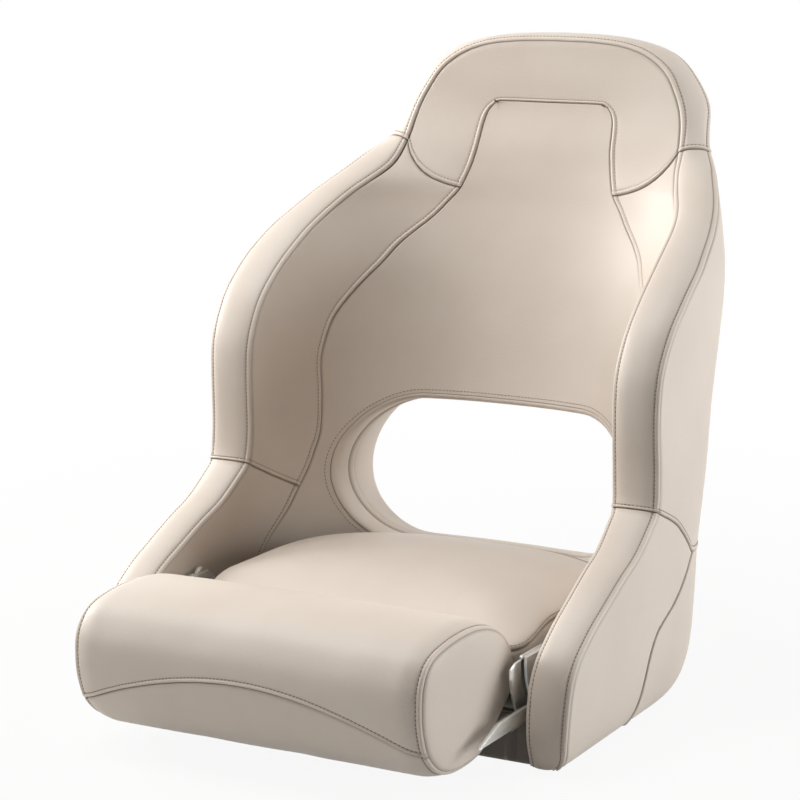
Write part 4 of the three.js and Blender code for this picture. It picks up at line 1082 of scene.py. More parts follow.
FACING_STITCH_LINE, FACING_STITCH_SINK, FACING_STITCH_POINTS = 3.6, 0.1, 500
for outside, facing in ((False, -1.0), (True, 1.0)):
    x, z = stadium(FACING_REACH + FACING_STITCH_LINE, FACING_STITCH_POINTS)
    line = np.stack([x, face_depth(x, z, outside) - facing * FACING_STITCH_SINK, z], -1)
    side = np.broadcast_to(np.array([0.0, facing, 0.0]), line.shape)
    seat_stitches.append((np.concatenate([line, line[:1]]), np.concatenate([side, side[:1]])))

CUTTER_FRONT, CUTTER_BACK, CUTTER_POINTS = 40.0, 460.0, 96
SMOOTH_ANGLE = math.radians(40)


def prism(name, near, far):
    """A solid between two outlines that have as many points."""
    count = len(near)
    faces = [tuple(range(count)), tuple(range(2 * count - 1, count - 1, -1))]
    faces += [(i, i + count, (i + 1) % count + count, (i + 1) % count) for i in range(count)]
    return faced_outwards(new_piece(name, np.concatenate([near, far]), faces))


x, z = stadium(FACING_REACH, CUTTER_POINTS)
cutter = prism("opening_cutter", *(np.stack([x, 0 * x + y, z], -1) for y in (CUTTER_FRONT, CUTTER_BACK)))


def combined(piece, other, operation):
    """Cuts another solid out of a piece, or joins it on."""
    alone(piece)
    change = piece.modifiers.new("change", "BOOLEAN")
    change.operation = operation
    change.solver = "EXACT"
    change.object = other
    bpy.ops.object.modifier_apply(modifier=change.name)


for panel in (back_insert, back_outer, back_lower):
    combined(panel, cutter, "DIFFERENCE")
    bpy.ops.object.shade_smooth_by_angle(angle=SMOOTH_ANGLE)
bpy.data.objects.remove(cutter)

STITCH_CLEARANCE, BACK_STARTS, SHORTEST_STRETCH = 1.5, 100.0, 4


def outside_opening(line, side):
    """The stretches of a stitch row that don't cross the opening."""
    past = np.maximum(np.abs(line[:, 0]) - OPENING_STRAIGHT, 0)
    away = np.hypot(past, line[:, 2] - OPENING_CENTRE) - OPENING_HALF_HEIGHT
    kept = (away > FACING_REACH + STITCH_CLEARANCE) | (line[:, 1] < BACK_STARTS)
    ends = np.flatnonzero(np.diff(np.concatenate([[0], kept.astype(int), [0]])))
    return [(line[a:b], side[a:b]) for a, b in zip(ends[::2], ends[1::2]) if b - a > SHORTEST_STRETCH]


seat_stitches = [part for line, side in seat_stitches for part in outside_opening(line, side)]
stitch_rows("bucket_stitching", seat_stitches, "seat")


# The seat cushion: a loose pad of vinyl over foam that lies on its board. Its top panel
# is crowned and sewn to the side band, which draws in below the seam.
CUSHION_SEAM = 102.5
CUSHION_HALF, CUSHION_FRONT, CUSHION_BACK_GAP = 198.0, 106.0, 9.0
CUSHION_FULLNESS = 13.0
FRONT_DROP, DROP_START, DROP_LENGTH = 17.0, 28.0, 78.0
BOARD_TOP = 67.0
CUSHION_POINTS = 420


def cushion_outline(z, grow):
    """Evenly spaced points round the cushion, which follows the bucket's inside."""
    _, centre, depth, fullness = section_at(z, False)
    angle = 2 * math.pi * (np.arange(CUSHION_POINTS) + 0.5) / CUSHION_POINTS
    ahead = np.sin(angle) < 0
    power = 2 / np.where(ahead, CUSHION_FULLNESS, fullness)
    reach = np.where(ahead, centre + CUSHION_FRONT, depth - CUSHION_BACK_GAP) + grow
    x = (CUSHION_HALF + grow) * np.sign(np.cos(angle)) * np.abs(np.cos(angle)) ** power
    y = centre + reach * np.sign(np.sin(angle)) * np.abs(np.sin(angle)) ** power
    ring = np.stack([x, y], -1)
    closed = np.concatenate([ring, ring[:1]])
    travel = travelled(closed)
    return read_line(np.linspace(0, travel[-1], CUSHION_POINTS, endpoint=False), travel, closed)


def ring_piece(name, rings, shades):
    """A closed skin through rings of points, with a cap at both ends."""
    rows, count = rings.shape[:2]
    at = np.arange(rows * count).reshape(rows, count)
    beside = np.roll(at, -1, axis=1)
    faces = np.stack([at[:-1], beside[:-1], beside[1:], at[1:]], -1).reshape(-1, 4).tolist()
    ends = [rings[0].mean(0), rings[-1].mean(0)]
    points = np.concatenate([rings.reshape(-1, 3), ends])
    first, last = rows * count, rows * count + 1
    faces += [(int(beside[0, i]), int(at[0, i]), first) for i in range(count)]
    faces += [(int(at[-1, i]), int(beside[-1, i]), last) for i in range(count)]
    point_shades = np.concatenate([np.repeat(shades, count), [shades[0], shades[-1]]])
    return faced_outwards(new_piece(name, points, faces, point_shades))


CLOTH_PRESSURE, CLOTH_FRAMES, CLOTH_VOXEL = 4.0, 20, 6.0
CREASE_EASING = 14
NEAREST, NEAREST_SOFTENING = 6, 1.0


def cloth_swell(name, rings, held, reach, ease):
    """Lets the cover swell as cloth under the foam's pressure, held at its seams, and
    gives back a function that moves points of the cover as the cloth moved. The moves
    are evened out over the mesh, so that the cover keeps no sharp creases."""
    body = ring_piece(name, rings, np.zeros(len(rings)))
    voxels = body.modifiers.new("voxels", "REMESH")
    voxels.mode = "VOXEL"
    voxels.voxel_size = CLOTH_VOXEL * MM
    bpy.ops.object.modifier_apply(modifier=voxels.name)
    rest = np.array([tuple(vertex.co) for vertex in body.data.vertices]) / MM - [0, 0, FOOT_DEPTH]
    pinned = body.vertex_groups.new(name="held")
    pinned.add([int(i) for i in np.flatnonzero(held(rest))], 1.0, "REPLACE")
    cloth = body.modifiers.new("cloth", "CLOTH")
    cloth.settings.quality = 5
    cloth.settings.use_pressure = True
    cloth.settings.uniform_pressure_force = CLOTH_PRESSURE
    cloth.settings.tension_stiffness = 12.0
    cloth.settings.compression_stiffness = 12.0
    cloth.settings.bending_stiffness = 1.5
    cloth.settings.shrink_min = -ease
    cloth.settings.vertex_group_mass = pinned.name
    cloth.settings.effector_weights.gravity = 0.0
    scene = bpy.context.scene
    for step in range(1, CLOTH_FRAMES + 1):
        scene.frame_set(step)
    shaped = body.evaluated_get(bpy.context.evaluated_depsgraph_get()).data
    ended = np.array([tuple(vertex.co) for vertex in shaped.vertices]) / MM - [0, 0, FOOT_DEPTH]
    scene.frame_set(1)
    moves = ended - rest
    ends = np.array([tuple(edge.vertices) for edge in body.data.edges])
    neighbours = np.maximum(np.bincount(ends.ravel(), minlength=len(rest)), 1)[:, None]
    loose = ~held(rest)[:, None]
    for _ in range(CREASE_EASING):
        around = np.zeros_like(moves)
        np.add.at(around, ends[:, 0], moves[ends[:, 1]])
        np.add.at(around, ends[:, 1], moves[ends[:, 0]])
        moves = np.where(loose, (moves + around / neighbours) / 2, moves)
    moves *= min(1.0, reach / np.linalg.norm(moves, axis=-1).max())
    bpy.data.objects.remove(body)
    tree = KDTree(len(rest))
    for i, point in enumerate(rest):
        tree.insert(point, i)
    tree.balance()

    def moved(points):
        flat = np.asarray(points).reshape(-1, 3)
        shift = np.zeros_like(flat)
        for i, point in enumerate(flat):
            near = tree.find_n(point, NEAREST)
            weights = np.array([1 / (found[2] + NEAREST_SOFTENING) ** 2 for found in near])
            shift[i] = weights @ moves[[found[1] for found in near]] / weights.sum()
        return (flat + shift).reshape(np.shape(points))

    return moved


def dropped(points):
    """The foam's front gives way: the seam and the top come down towards the bolster."""
    ahead = np.clip((-points[:, 1] - DROP_START) / DROP_LENGTH, 0, 1)
    share = np.clip((points[:, 2] - BOARD_TOP) / (CUSHION_SEAM - BOARD_TOP), 0, 1)
    return points - np.stack([0 * share, 0 * share, FRONT_DROP * ahead**2 * (3 - 2 * ahead) * share], -1)


CUSHION_SIDE = [
    # height over the board, inward, painted seam shade
    (-8.3, 8.5, 0.6), (-8.6, 6.2, 0.4), (-8.0, 4.8, 0.2), (-5.0, 4.4, 0.0), (1.5, 4.5, 0.3),
    (4.0, 4.3, 0.1), (9.0, 3.2, 0.0), (17.0, 1.2, 0.0), (25.0, 0.2, 0.0), (30.0, 0.0, 0.0),
    (32.6, 0.5, 0.0), (34.3, 1.6, 0.5), (35.3, 3.2, 1.0),
]
CUSHION_CROWN = [
    # inward, height over the seam, painted seam shade
    (3.2, 0.0, 1.0), (2.2, 0.6, 0.8), (0.9, 1.6, 0.1), (0.3, 2.8, 0.0), (0.8, 4.2, 0.25),
    (2.0, 5.6, 0.1), (4.0, 6.9, 0.0), (7.0, 8.1, 0.0), (11.0, 9.2, 0.0), (16.0, 10.2, 0.0),
    (23.0, 11.3, 0.0), (32.0, 12.4, 0.0),
    (44.0, 14.1, 0.0), (60.0, 16.3, 0.0), (80.0, 18.3, 0.0), (105.0, 19.7, 0.0), (130.0, 20.4, 0.0),
    (150.0, 20.6, 0.0),
]
CROWN_BLEND_FROM, CROWN_BLEND, CROWN_REACH = 14, 60, 165.0
CUSHION_SWELL, CUSHION_EASE, HELD_RISE = 5.0, 0.012, 4.5
CUSHION_STITCH_INSET, CUSHION_STITCH_RISE, CUSHION_STITCH_LEAN = 0.6, 5.8, 60.0


def at_height(ring, z):
    return np.concatenate([ring, np.full((len(ring), 1), z)], 1)


cushion_rings, cushion_shades = [], []
for rise, inward, shade in CUSHION_SIDE:
    cushion_rings.append(at_height(cushion_outline(BOARD_TOP + rise, -inward), BOARD_TOP + rise))
    cushion_shades.append(shade)
seam_ring = cushion_outline(CUSHION_SEAM, 0.0)
cushion_middle = np.array([0.0, (seam_ring[:, 1].max() + seam_ring[:, 1].min()) / 2])
for inward, rise, shade in CUSHION_CROWN:
    ring = cushion_outline(CUSHION_SEAM, -inward)
    if inward >= CROWN_BLEND_FROM:
        shrunk = cushion_middle + (seam_ring - cushion_middle) * (1 - inward / CROWN_REACH)
        ring = lerp(ring, shrunk, min((inward - CROWN_BLEND_FROM) / CROWN_BLEND, 1))
    cushion_rings.append(at_height(ring, CUSHION_SEAM + rise))
    cushion_shades.append(shade)
cushion_rings = np.array(cushion_rings)


def cushion_held(points):
    """The band and the seam stay where they are sewn; only the top panel swells."""
    return points[:, 2] < CUSHION_SEAM + HELD_RISE


crown_rings = cushion_rings[len(CUSHION_SIDE):]
cushion_cloth = cloth_swell("cushion_foam", crown_rings, cushion_held, CUSHION_SWELL, CUSHION_EASE)
cushion_rings = dropped(cushion_cloth(cushion_rings.reshape(-1, 3))).reshape(cushion_rings.shape)
cushion = ring_piece("seat_cushion_cover", cushion_rings, np.array(cushion_shades))
cushion.data.materials.append(VINYL)
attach(cushion, "seat")
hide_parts("seat_cushion")
stitch_outline = cushion_outline(CUSHION_SEAM, -CUSHION_STITCH_INSET)
stitch_ring = dropped(cushion_cloth(at_height(stitch_outline, CUSHION_SEAM + CUSHION_STITCH_RISE)))
stitch_out = unit(at_height(stitch_outline - cushion_middle, CUSHION_STITCH_LEAN))
stitch_rows("cushion_stitching", [(stitch_ring, stitch_out)], "seat")


# The front bolster: a long roll of foam in a sewn cover. A top and a front panel meet in
# a curved seam, and a mitred cap closes each end.
BOLSTER_HALF = 198.0
BOLSTER_FRONT, BOLSTER_REAR = 313.0, 119.0
BOLSTER_TOP, BOLSTER_BOTTOM = 137.0, 6.0
BOLSTER_SWELL, END_DRAW = 7.0, 26.0
BOLSTER_OUTLINE = np.array(
    [
        # share forward, share up, share of the swell
        [0.067, 0.315, 0],
        [0.005, 0.44, 0.3],
        [0.005, 0.6, 0.6],
        [0.067, 0.755, 1],
        [0.18, 0.89, 1],
        [0.34, 0.972, 1],
        [0.52, 1, 1],
        [0.73, 0.985, 1],
        [0.9, 0.925, 1],
        [0.985, 0.78, 1],
        [1, 0.58, 1],
        [0.982, 0.406, 1],
        [0.93, 0.234, 1],
        [0.82, 0.086, 1],
        [0.68, 0.016, 1],
        [0.52, 0, 0.8],
        [0.4, 0.01, 0.2],
        [0.34, 0.035, 0],
    ]
)
CHAMFER_ROW = len(BOLSTER_OUTLINE) - 1
SEAM_ROW_ENDS, SEAM_ROW_MIDDLE = 12.0, 10.0
OUTLINE_NUDGE = 0.1


def bolster_outline(row):
    """The outline by its row: a smooth curve, but for the straight underside."""
    count = len(BOLSTER_OUTLINE)
    row = np.asarray(row, float) % count
    i = np.floor(row).astype(int)
    t = (row - i)[..., None]
    before, start, end, after = (BOLSTER_OUTLINE[(i + k) % count] for k in (-1, 0, 1, 2))
    rise = np.where((i == 0)[..., None], end - start, (end - before) / 2)
    fall = np.where((i + 1 == CHAMFER_ROW)[..., None], end - start, (after - start) / 2)
    curve = start + t * rise + t**2 * (3 * (end - start) - 2 * rise - fall)
    curve = curve + t**3 * (2 * (start - end) + rise + fall)
    return np.where((i == CHAMFER_ROW)[..., None], start + (end - start) * t, curve)


def bolster_point(row, x, out=0.0, swell=0.0):
    """A point on the bolster's outline, moved out square to it."""

    def flat(at):
        shares = bolster_outline(at)
        forward = -lerp(BOLSTER_REAR, BOLSTER_FRONT, shares[..., 0])
        return np.stack([forward, lerp(BOLSTER_BOTTOM, BOLSTER_TOP, shares[..., 1])], -1), shares[..., 2]

    here, share = flat(row)
    along = unit(flat(row + OUTLINE_NUDGE)[0] - flat(row - OUTLINE_NUDGE)[0])
    reach = out + swell * share
    y, z = here[..., 0] + along[..., 1] * reach, here[..., 1] - along[..., 0] * reach
    return np.stack([x + 0 * reach, y, z], -1)


def bolster_spot(first, last):
    """The cover's surface: full in its middle, drawn in to the seams at both ends."""

    def read(u, v):
        side = 2 * u - 1
        x = side * BOLSTER_HALF
        row = lerp(first(np.abs(side)), last(np.abs(side)), v)
        ends = np.clip(1 - (1 - np.abs(side)) * BOLSTER_HALF / END_DRAW, 0, 1) ** 2
        return bolster_point(row, x, 0.0, BOLSTER_SWELL * (1 - ends))

    return read


def curved_seam(side):
    return lerp(SEAM_ROW_MIDDLE, SEAM_ROW_ENDS, side**2)


def straight_seam(row):
    return lambda side: 0 * side + row


BOLSTER_CENTRE = np.array([0.0, -220.0, 70.0])
CLOTH_SWELL, CLOTH_EASE, CLOTH_RINGS, CLOTH_RING_POINTS = 4.0, 0.006, 33, 120
HELD_END, HELD_SEAM, HELD_UNDER = 5.0, 6.0, 9.0


def bolster_held(points):
    """The cover is held at both end seams, at the curved seam and on the underside."""
    side = np.abs(points[:, 0]) / BOLSTER_HALF
    near_end = side * BOLSTER_HALF > BOLSTER_HALF - HELD_END
    seam = bolster_point(curved_seam(np.minimum(side, 1)), points[:, 0], 0.0, BOLSTER_SWELL)
    near_seam = np.linalg.norm((points - seam)[:, 1:], axis=-1) < HELD_SEAM
    low, high = bolster_point(np.array([CHAMFER_ROW, 0.0]), np.zeros(2))[:, 1:]
    across = np.array([high[1] - low[1], low[0] - high[0]])
    under = (points[:, 1:] - low) @ across / np.linalg.norm(across)
    return near_end | near_seam | (np.abs(under) < HELD_UNDER)


cloth_widths = (np.linspace(-1, 1, CLOTH_RINGS) + 1) / 2
cloth_rows = np.linspace(0, CHAMFER_ROW + 1, CLOTH_RING_POINTS, endpoint=False) / (CHAMFER_ROW + 1)
whole_cover = bolster_spot(straight_seam(0), straight_seam(CHAMFER_ROW + 1))
cloth_body = whole_cover(*np.meshgrid(cloth_widths, cloth_rows, indexing="ij"))
bolster_cloth = cloth_swell("bolster_foam", cloth_body, bolster_held, CLOTH_SWELL, CLOTH_EASE)


def from_bolster(points):
    return (points - BOLSTER_CENTRE) * np.array([0.0, 1.0, 1.0])


def soft_spot(first, last):
    spot = bolster_spot(first, last)
    return lambda u, v: bolster_cloth(spot(u, v))


UNDERSIDE_DEPTH = 2.6
bolster_stitches = []
for name, first, last, kinds in (
    ("bolster_top", straight_seam(0), curved_seam, ("lapped", "lapped", "open", "lapped")),
    ("bolster_front", curved_seam, straight_seam(CHAMFER_ROW), ("lapped", "lapped", "plain", "open")),
):
    _, rows = sewn_panel(
        f"{name}_cover", soft_spot(first, last), kinds, from_bolster, "bolster", name, step=5.0,
    )
    bolster_stitches += rows
stitch_rows("bolster_stitching", bolster_stitches, "bolster")
# The underside takes the darkened copy of the vinyl: painted shade under the roll.
sewn_panel(
    "bolster_underside_cover", bolster_spot(straight_seam(CHAMFER_ROW), straight_seam(CHAMFER_ROW + 1)),
    ("plain", "plain", "open", "open"), from_bolster, "bolster", "bolster_underside",
    depth=UNDERSIDE_DEPTH, sheet=PAINTED_SHADE_VINYL,
)

CAP_POINTS, OUTLINE_SAMPLES = 300, 1200
CAP_INSET, CAP_OVER_END, CAP_BULGE, BULGE_REACH = 0.4, 0.6, 6.0, 16.0
CAP_BAND, CAP_MIDDLE = 9.0, 56.0
TURNED_IN, TURNED_IN_DEPTHS = 1.0, (9.0, 4.0)
CAP_RINGS = [0.0, 0.4, 0.9, 1.6, 2.5, 3.6, 5.0, 7.5, 11.0, 16.0, 22.0, 30.0, 40.0, 52.0]
sample_rows = np.linspace(0, CHAMFER_ROW + 1, OUTLINE_SAMPLES)
travel = travelled(bolster_point(sample_rows, np.zeros(OUTLINE_SAMPLES)))
cap_rows = np.interp(np.linspace(0, travel[-1], CAP_POINTS, endpoint=False), travel, sample_rows)
cap_edge = bolster_point(cap_rows, np.zeros(CAP_POINTS), -CAP_INSET)
cap_inner = bolster_point(cap_rows, np.zeros(CAP_POINTS), -CAP_BAND)
cap_middle = np.array([0.0, (BOLSTER_FRONT + BOLSTER_REAR) / -2, (BOLSTER_BOTTOM + BOLSTER_TOP) / 2])
cap_inward = unit(cap_inner - cap_edge)
for side, label in ((1, "right"), (-1, "left")):
    rings, shades = [], []
    # The turned-in rings take full painted seam shade, and the cap's rim the painted shade of a plain seam.
    for depth in TURNED_IN_DEPTHS:
        ring = cap_edge + cap_inward * TURNED_IN
        ring[:, 0] = side * (BOLSTER_HALF - depth)
        rings.append(ring)
        shades.append(1.0)
    for distance in CAP_RINGS:
        rise, shade = edge_rise(np.array(distance), "plain")
        if distance < CAP_BAND:
            ring = cap_edge + cap_inward * distance
        else:
            ring = lerp(cap_inner, cap_middle, (distance - CAP_BAND) / CAP_MIDDLE)
        bulge = CAP_BULGE * (1 - np.exp(-distance / BULGE_REACH))
        ring[:, 0] = side * (BOLSTER_HALF + CAP_OVER_END + bulge + float(rise))
        rings.append(ring)
        shades.append(float(shade))
    cap = ring_piece(f"bolster_cap_cover_{label}", bolster_cloth(np.array(rings)), np.array(shades))
    cap.data.materials.append(VINYL)
    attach(cap, "bolster")
    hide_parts(f"bolster_cap_{label}")

# The bolster's core: one block of moulded foam that fills the cover.
foam = Shade.start("moulded_foam")
cells = Shade.node("ShaderNodeTexNoise", Vector=object_place(), Scale=900.0, Detail=3.0)
finish_material(
    Base_Color=blend_paint(cells.clamped(), paint(226, 214, 184), paint(238, 229, 204)),
    Roughness=0.95,
    Normal=Shade.node("ShaderNodeBump", Height=cells, Strength=0.6, Distance=0.0008),
)
CORE_INSET, CORE_END_GAP, CORE_POINTS, CORE_RINGS = 14.5, 13.0, 96, 5
core_rows = np.linspace(0, CHAMFER_ROW + 1, CORE_POINTS, endpoint=False)
core_widths = np.linspace(-1, 1, CORE_RINGS) * (BOLSTER_HALF - CORE_END_GAP)
core_rings = [bolster_point(core_rows, np.full(CORE_POINTS, x), -CORE_INSET) for x in core_widths]
core = ring_piece("bolster_core_foam", np.array(core_rings), np.zeros(len(core_rings)))
core.data.materials.append(foam)
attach(core, "bolster")
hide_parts("bolster_core")


# The hinge plates: bent stainless sheet, screwed to the floor on each side. The flange on
# top ends in a rolled hem, and a cheek hangs below the hem beside the bolster.
BRUSHED_ROUGHNESS, SMUDGED_ROUGHNESS = 0.16, 0.1


def metal(name, low, high, rough, grain):
    material = Shade.start(name)
    brushed = Shade.node("ShaderNodeTexNoise", Vector=object_place(grain), Scale=1.0, Detail=4.0)
    smudges = Shade.node("ShaderNodeTexNoise", Vector=object_place(), Scale=60.0, Detail=2.0)
    finish_material(
        Base_Color=blend_paint(brushed.clamped(), low, high),
        Metallic=1.0,
        Roughness=rough + (brushed - 0.5) * BRUSHED_ROUGHNESS + (smudges - 0.5) * SMUDGED_ROUGHNESS,
        Normal=Shade.node("ShaderNodeBump", Height=brushed, Strength=0.12, Distance=0.0002),
    )
    return material


BRUSHED, TURNED, BORED = (2500.0, 90.0, 2500.0), (2500.0, 900.0, 900.0), (2000.0, 900.0, 900.0)
STEEL = metal("brushed_stainless", paint(196, 195, 192), paint(216, 215, 211), 0.36, BRUSHED)
TURNED_STEEL = metal("turned_stainless", paint(202, 202, 200), paint(222, 221, 218), 0.28, TURNED)
BRONZE = metal("bearing_bronze", paint(172, 137, 88), paint(190, 156, 104), 0.4, BORED)
METAL_EDGE, SHARP_ANGLE = 0.5, math.radians(35)
PIVOT_FORWARD, PIVOT_HEIGHT = 64.0, 89.0
CHEEK_NEAR, CHEEK_FAR = 211.6, 214.4
CHEEK_SWEEP, CHEEK_TOP, CHEEK_BOTTOM, CHEEK_REAR = 94.0, 92.0, 39.0, 112.0
CHEEK_CORNER, CHEEK_CORNER_RUN, CHEEK_CORNER_DROP, CHEEK_ROWS = 6.0, 10.0, 1.5, 9
EAR_NEAR, EAR_FAR = CHEEK_NEAR - 8.0, CHEEK_FAR + 3.0
# depths and heights of what is trimmed off the top of the plate's ear
EAR_WASTE = [(-95.0, 99.5), (-62.0, 99.5), (-32.0, 94.8), (-18.0, 94.2), (-18.0, 125.0), (-95.0, 125.0)]


SAME_POINT, SAME_FACE_ANGLE = 0.001 * MM, math.radians(1)


def copy_of(node, name):
    """The node's solid as a mesh of its own, with its flat faces whole."""
    piece = bpy.data.objects.new(name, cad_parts[node].data.copy())
    bpy.context.scene.collection.objects.link(piece)
    alone(piece)
    bpy.ops.object.mode_set(mode="EDIT")
    bpy.ops.mesh.select_all(action="SELECT")
    bpy.ops.mesh.remove_doubles(threshold=SAME_POINT)
    bpy.ops.mesh.dissolve_limited(angle_limit=SAME_FACE_ANGLE)
    bpy.ops.object.mode_set(mode="OBJECT")
    return piece


def side_plate(name, outline, near, far):
    """A plate cut to an outline of depths and heights, between two widths."""
    return prism(name, *([(x, y, z) for y, z in outline] for x in (near, far)))


def reshaped(piece, operation, outline, near, far):
    """Cuts a flat shape out of a piece, or joins it on."""
    shape = side_plate("flat_shape", outline, near, far)
    combined(piece, shape, operation)
    bpy.data.objects.remove(shape)


def eased(piece, material, body, node=None):
    """Breaks the edges, and puts the finished piece in its node's place if it has one."""
    alone(piece)
    edges = piece.modifiers.new("edges", "BEVEL")
    edges.width = METAL_EDGE * MM
    edges.segments = 2
    edges.limit_method = "ANGLE"
    edges.angle_limit = SHARP_ANGLE
    bpy.ops.object.modifier_apply(modifier=edges.name)
    bpy.ops.object.shade_smooth_by_angle(angle=SHARP_ANGLE)
    piece.data.materials.clear()
    piece.data.materials.append(material)
    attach(piece, body)
    if node:
        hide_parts(node)


def swept(height):
    """How far forward the cheek's front edge lies at a height."""
    return -PIVOT_FORWARD - math.sqrt(CHEEK_SWEEP**2 - (height - PIVOT_HEIGHT) ** 2)


for side, label in ((1, "right"), (-1, "left")):
    plate = copy_of(f"hinge_plate_{label}", f"hinge_plate_cover_{label}")
    heights = np.linspace(CHEEK_BOTTOM, CHEEK_TOP - CHEEK_CORNER, CHEEK_ROWS)
    cheek = [(swept(z), z) for z in heights]
    cheek += [(swept(CHEEK_TOP) + CHEEK_CORNER_RUN, CHEEK_TOP - CHEEK_CORNER_DROP)]
    cheek += [(-CHEEK_REAR, CHEEK_TOP), (-CHEEK_REAR, CHEEK_BOTTOM)]
    reshaped(plate, "UNION", cheek, side * CHEEK_NEAR, side * CHEEK_FAR)
    reshaped(plate, "DIFFERENCE", EAR_WASTE, side * EAR_NEAR, side * EAR_FAR)
    eased(plate, STEEL, "seat", f"hinge_plate_{label}")


# The bolster's carrier arms: flat bar cut to a hub, a leg and a long foot beside the
# bolster, with a neck to the tab that is screwed to the bolster's board. A vinyl boot
# covers the end that meets the stop pin when the bolster is up.
ARM_NEAR, ARM_FAR = 221.0, 225.0
LEG_HALF = 13.0
BAR_TOP, BAR_BOTTOM, BAR_END_TOP, BAR_END_BOTTOM = 47.0, 32.5, 203.0, 246.0
NECK_BOTTOM, NECK_END = 28.0, 205.0
CLEARANCE, OVERRUN = 0.2, 1.0
WASTE_BOTTOM, WASTE_FRONT, FOOT_WASTE_RISE = -10.0, -260.0, 15.0
HEEL_WASTE_RUN, TAB_WASTE_REAR, TAB_WASTE_FRONT = 5.0, -100.0, -220.0
# depths and heights of what is cut off the tail, and of the boot that covers the rest
TAIL_WASTE = [(-95.0, 105.2), (-56.0, 105.2), (-54.0, 103.0), (-30.0, 103.0), (-30.0, 135.0), (-95.0, 135.0)]
BOOT_OUTLINE = [(-56.0, 101.5), (-47.6, 101.5), (-42.3, 109.6), (-47.2, 109.6), (-52.5, 104.6)]
BOOT_NEAR, BOOT_FAR = ARM_NEAR - 2 * CLEARANCE, ARM_FAR + 2 * CLEARANCE
leg_front, leg_rear = -PIVOT_FORWARD - LEG_HALF, -PIVOT_FORWARD + LEG_HALF


def up_to(rear, front, top):
    """All between two depths that lies under a height."""
    return [(rear, WASTE_BOTTOM), (rear, top), (front, top), (front, WASTE_BOTTOM)]


old_foot = up_to(leg_front, WASTE_FRONT, BAR_TOP + FOOT_WASTE_RISE)
old_heel = up_to(leg_rear + HEEL_WASTE_RUN, leg_front - OVERRUN, BAR_BOTTOM)
low_tab = up_to(TAB_WASTE_REAR, TAB_WASTE_FRONT, NECK_BOTTOM)
bar = [(leg_rear, BAR_BOTTOM), (leg_rear, BAR_TOP), (-BAR_END_TOP, BAR_TOP), (-BAR_END_BOTTOM, BAR_BOTTOM)]
for side, label in ((1, "right"), (-1, "left")):
    arm = copy_of(f"carrier_arm_{label}", f"carrier_arm_cover_{label}")
    for operation, outline, near, far in (
        ("DIFFERENCE", old_foot, ARM_NEAR + CLEARANCE, ARM_FAR + OVERRUN),
        ("DIFFERENCE", old_heel, ARM_NEAR - OVERRUN, ARM_FAR + OVERRUN),
        ("DIFFERENCE", low_tab, NECK_END, ARM_NEAR + 2 * CLEARANCE),
        ("DIFFERENCE", TAIL_WASTE, ARM_NEAR - OVERRUN, ARM_FAR + OVERRUN),
        ("UNION", bar, ARM_NEAR - CLEARANCE, ARM_FAR),
    ):
        reshaped(arm, operation, outline, side * near, side * far)
    eased(arm, STEEL, "bolster", f"carrier_arm_{label}")
    boot = side_plate(f"tail_boot_{label}", BOOT_OUTLINE, side * BOOT_NEAR, side * BOOT_FAR)
    eased(boot, VINYL, "bolster")


# Pins, bushes, nuts and screws of the hinge: turned stainless in bearing bronze.
def dressed(material, *names):
    for name in names:
        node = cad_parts[name]
        if not node.material_slots:
            node.data.materials.append(material)
        node.material_slots[0].material = material


for label in ("right", "left"):
    dressed(TURNED_STEEL, f"pivot_pin_{label}", f"pivot_nut_{label}", f"stop_pin_{label}")
    dressed(TURNED_STEEL, f"carrier_screw_{label}_1", f"carrier_screw_{label}_2")
    dressed(BRONZE, f"pivot_bush_{label}")
dressed(TURNED_STEEL, *[f"pedestal_insert_{number}" for number in (1, 2, 3, 4)])


# The boards are birch plywood: their cut edges show the plies, and their faces the grain.
PLY_PITCH = 1.5
GRAIN_SHARE = 0.75
plywood = Shade.start("birch_plywood")
upright = Shade.node("ShaderNodeSeparateXYZ", out=2, Vector=object_place())
plies = (upright * (2 * math.pi / (PLY_PITCH * 2 * MM))).math("SINE")
grain = Shade.node("ShaderNodeTexNoise", Vector=object_place((18.0, 160.0, 160.0)), Scale=1.0, Detail=6.0)
figure = grain * GRAIN_SHARE + plies.clamped(-0.5, 0.5) * (1 - GRAIN_SHARE)
finish_material(
    Base_Color=blend_paint(figure.clamped(0.25, 0.75), paint(170, 132, 88), paint(206, 172, 124)),
    Roughness=0.55 + grain * 0.15,
    Normal=Shade.node("ShaderNodeBump", Height=figure, Strength=0.25, Distance=0.0004),
)
dressed(plywood, "base_board", "seat_board", "bolster_board")


# The moulded bucket that carries it all: grey polyethylene with a lightly pebbled skin.
plastic = Shade.start("moulded_polyethylene")
skin = Shade.node("ShaderNodeTexNoise", Vector=object_place(), Scale=700.0, Detail=2.0)
haze = Shade.node("ShaderNodeTexNoise", Vector=object_place(), Scale=9.0, Detail=3.0)
finish_material(
    Base_Color=blend_paint(haze.clamped(), paint(88, 85, 80), paint(102, 99, 93)),
    Roughness=0.58 + skin * 0.12,
    Normal=Shade.node("ShaderNodeBump", Height=skin, Strength=0.3, Distance=0.0004),
)
dressed(plastic, "frame_shell")
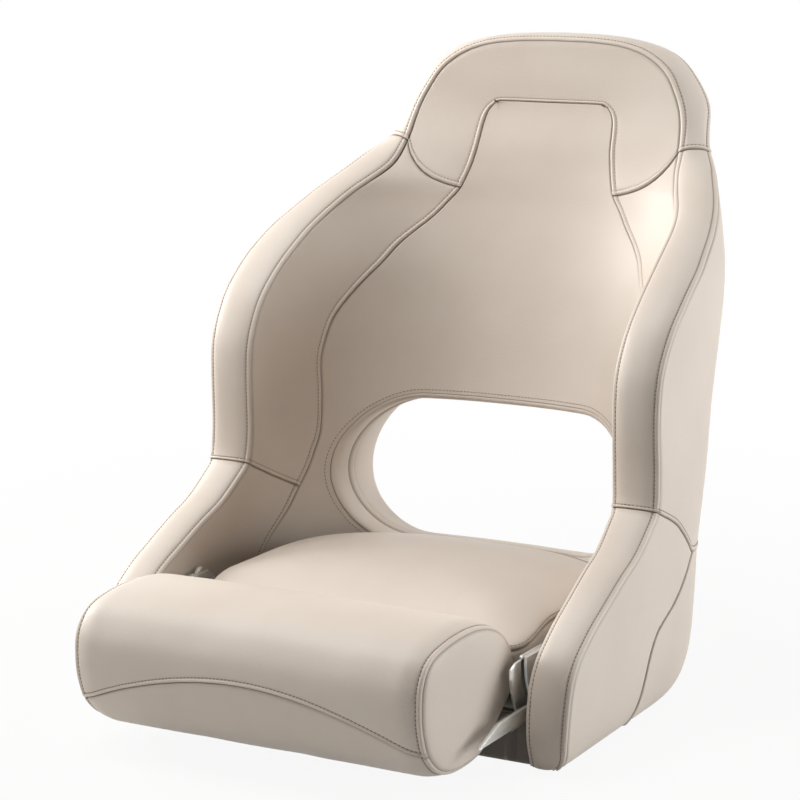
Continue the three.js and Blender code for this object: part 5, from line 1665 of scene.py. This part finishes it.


# The apron: vinyl pulled down over the front of the base between the arms and stapled
# underneath, with a fold where it turns at each side. It takes the darkened copy of the vinyl,
# painted shade for the shadow under the seat's front, with painted shade in the hollow beside each fold.
APRON_HALF, APRON_FRONT, APRON_TOP, APRON_THICKNESS = 228.0, 137.0, 31.0, 1.4
APRON_FOLD, APRON_FOLD_WIDTH, APRON_FOLD_RISE = 202.0, 3.4, 3.0
APRON_PLAIN_HALF, APRON_SIDE_FROM, APRON_COLUMNS = 183, 185, 60
HOLLOW_PLACE, HOLLOW_DEPTH, HOLLOW_SHADE = 1.9, 0.9, 0.6
# the height, length and start of two slow waves along the apron
APRON_WAVES = [(0.5, 17.0, 0.0), (0.35, 6.3, 1.0)]
APRON_LINE = [
    # back from the front, height over the seat's zero line
    (16.0, APRON_TOP), (11.0, APRON_TOP - 0.4), (6.5, APRON_TOP - 2.0), (3.2, APRON_TOP - 5.0),
    (1.4, APRON_TOP - 9.5), (0.6, 14.0), (0.2, 6.0), (0.0, -2.0), (0.1, -9.0), (0.6, -12.6),
    (1.9, -14.8), (4.0, -15.6),
]
TAUT_ABOVE, TAUT_BELOW, LOOSENS_OVER, TIGHTENS_OVER = APRON_TOP + 2.0, -17.5, 16.0, 5.0
apron_side = np.linspace(APRON_SIDE_FROM, APRON_HALF, APRON_COLUMNS)
apron_middle = np.linspace(-APRON_PLAIN_HALF, APRON_PLAIN_HALF, APRON_COLUMNS)
apron_x = np.concatenate([-apron_side[::-1], apron_middle, apron_side])
inward, up = np.array(APRON_LINE).T
from_fold = (np.abs(apron_x) - APRON_FOLD) / APRON_FOLD_WIDTH
hollow = np.exp(-((from_fold - HOLLOW_PLACE) ** 2) * 2)
ruck = APRON_FOLD_RISE * np.exp(-(from_fold**2)) - HOLLOW_DEPTH * hollow
sway = sum(height * np.sin(apron_x / length + start) for height, length, start in APRON_WAVES)
loose = np.clip((TAUT_ABOVE - up) / LOOSENS_OVER, 0, 1) * np.clip((up - TAUT_BELOW) / TIGHTENS_OVER, 0, 1)
apron_y = -APRON_FRONT + inward[:, None] - (ruck + sway) * loose[:, None]
apron_face = np.stack(np.broadcast_arrays(apron_x, apron_y, up[:, None]), -1)
apron_back = apron_face + np.array([0.0, APRON_THICKNESS, 0.0])
# painted shade in the hollow beside each fold
apron_shade = np.broadcast_to(hollow * HOLLOW_SHADE, apron_y.shape)
apron = closed_pad("base_apron", apron_face, apron_back, apron_shade)
apron.data.materials.append(PAINTED_SHADE_VINYL)
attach(apron, "seat")
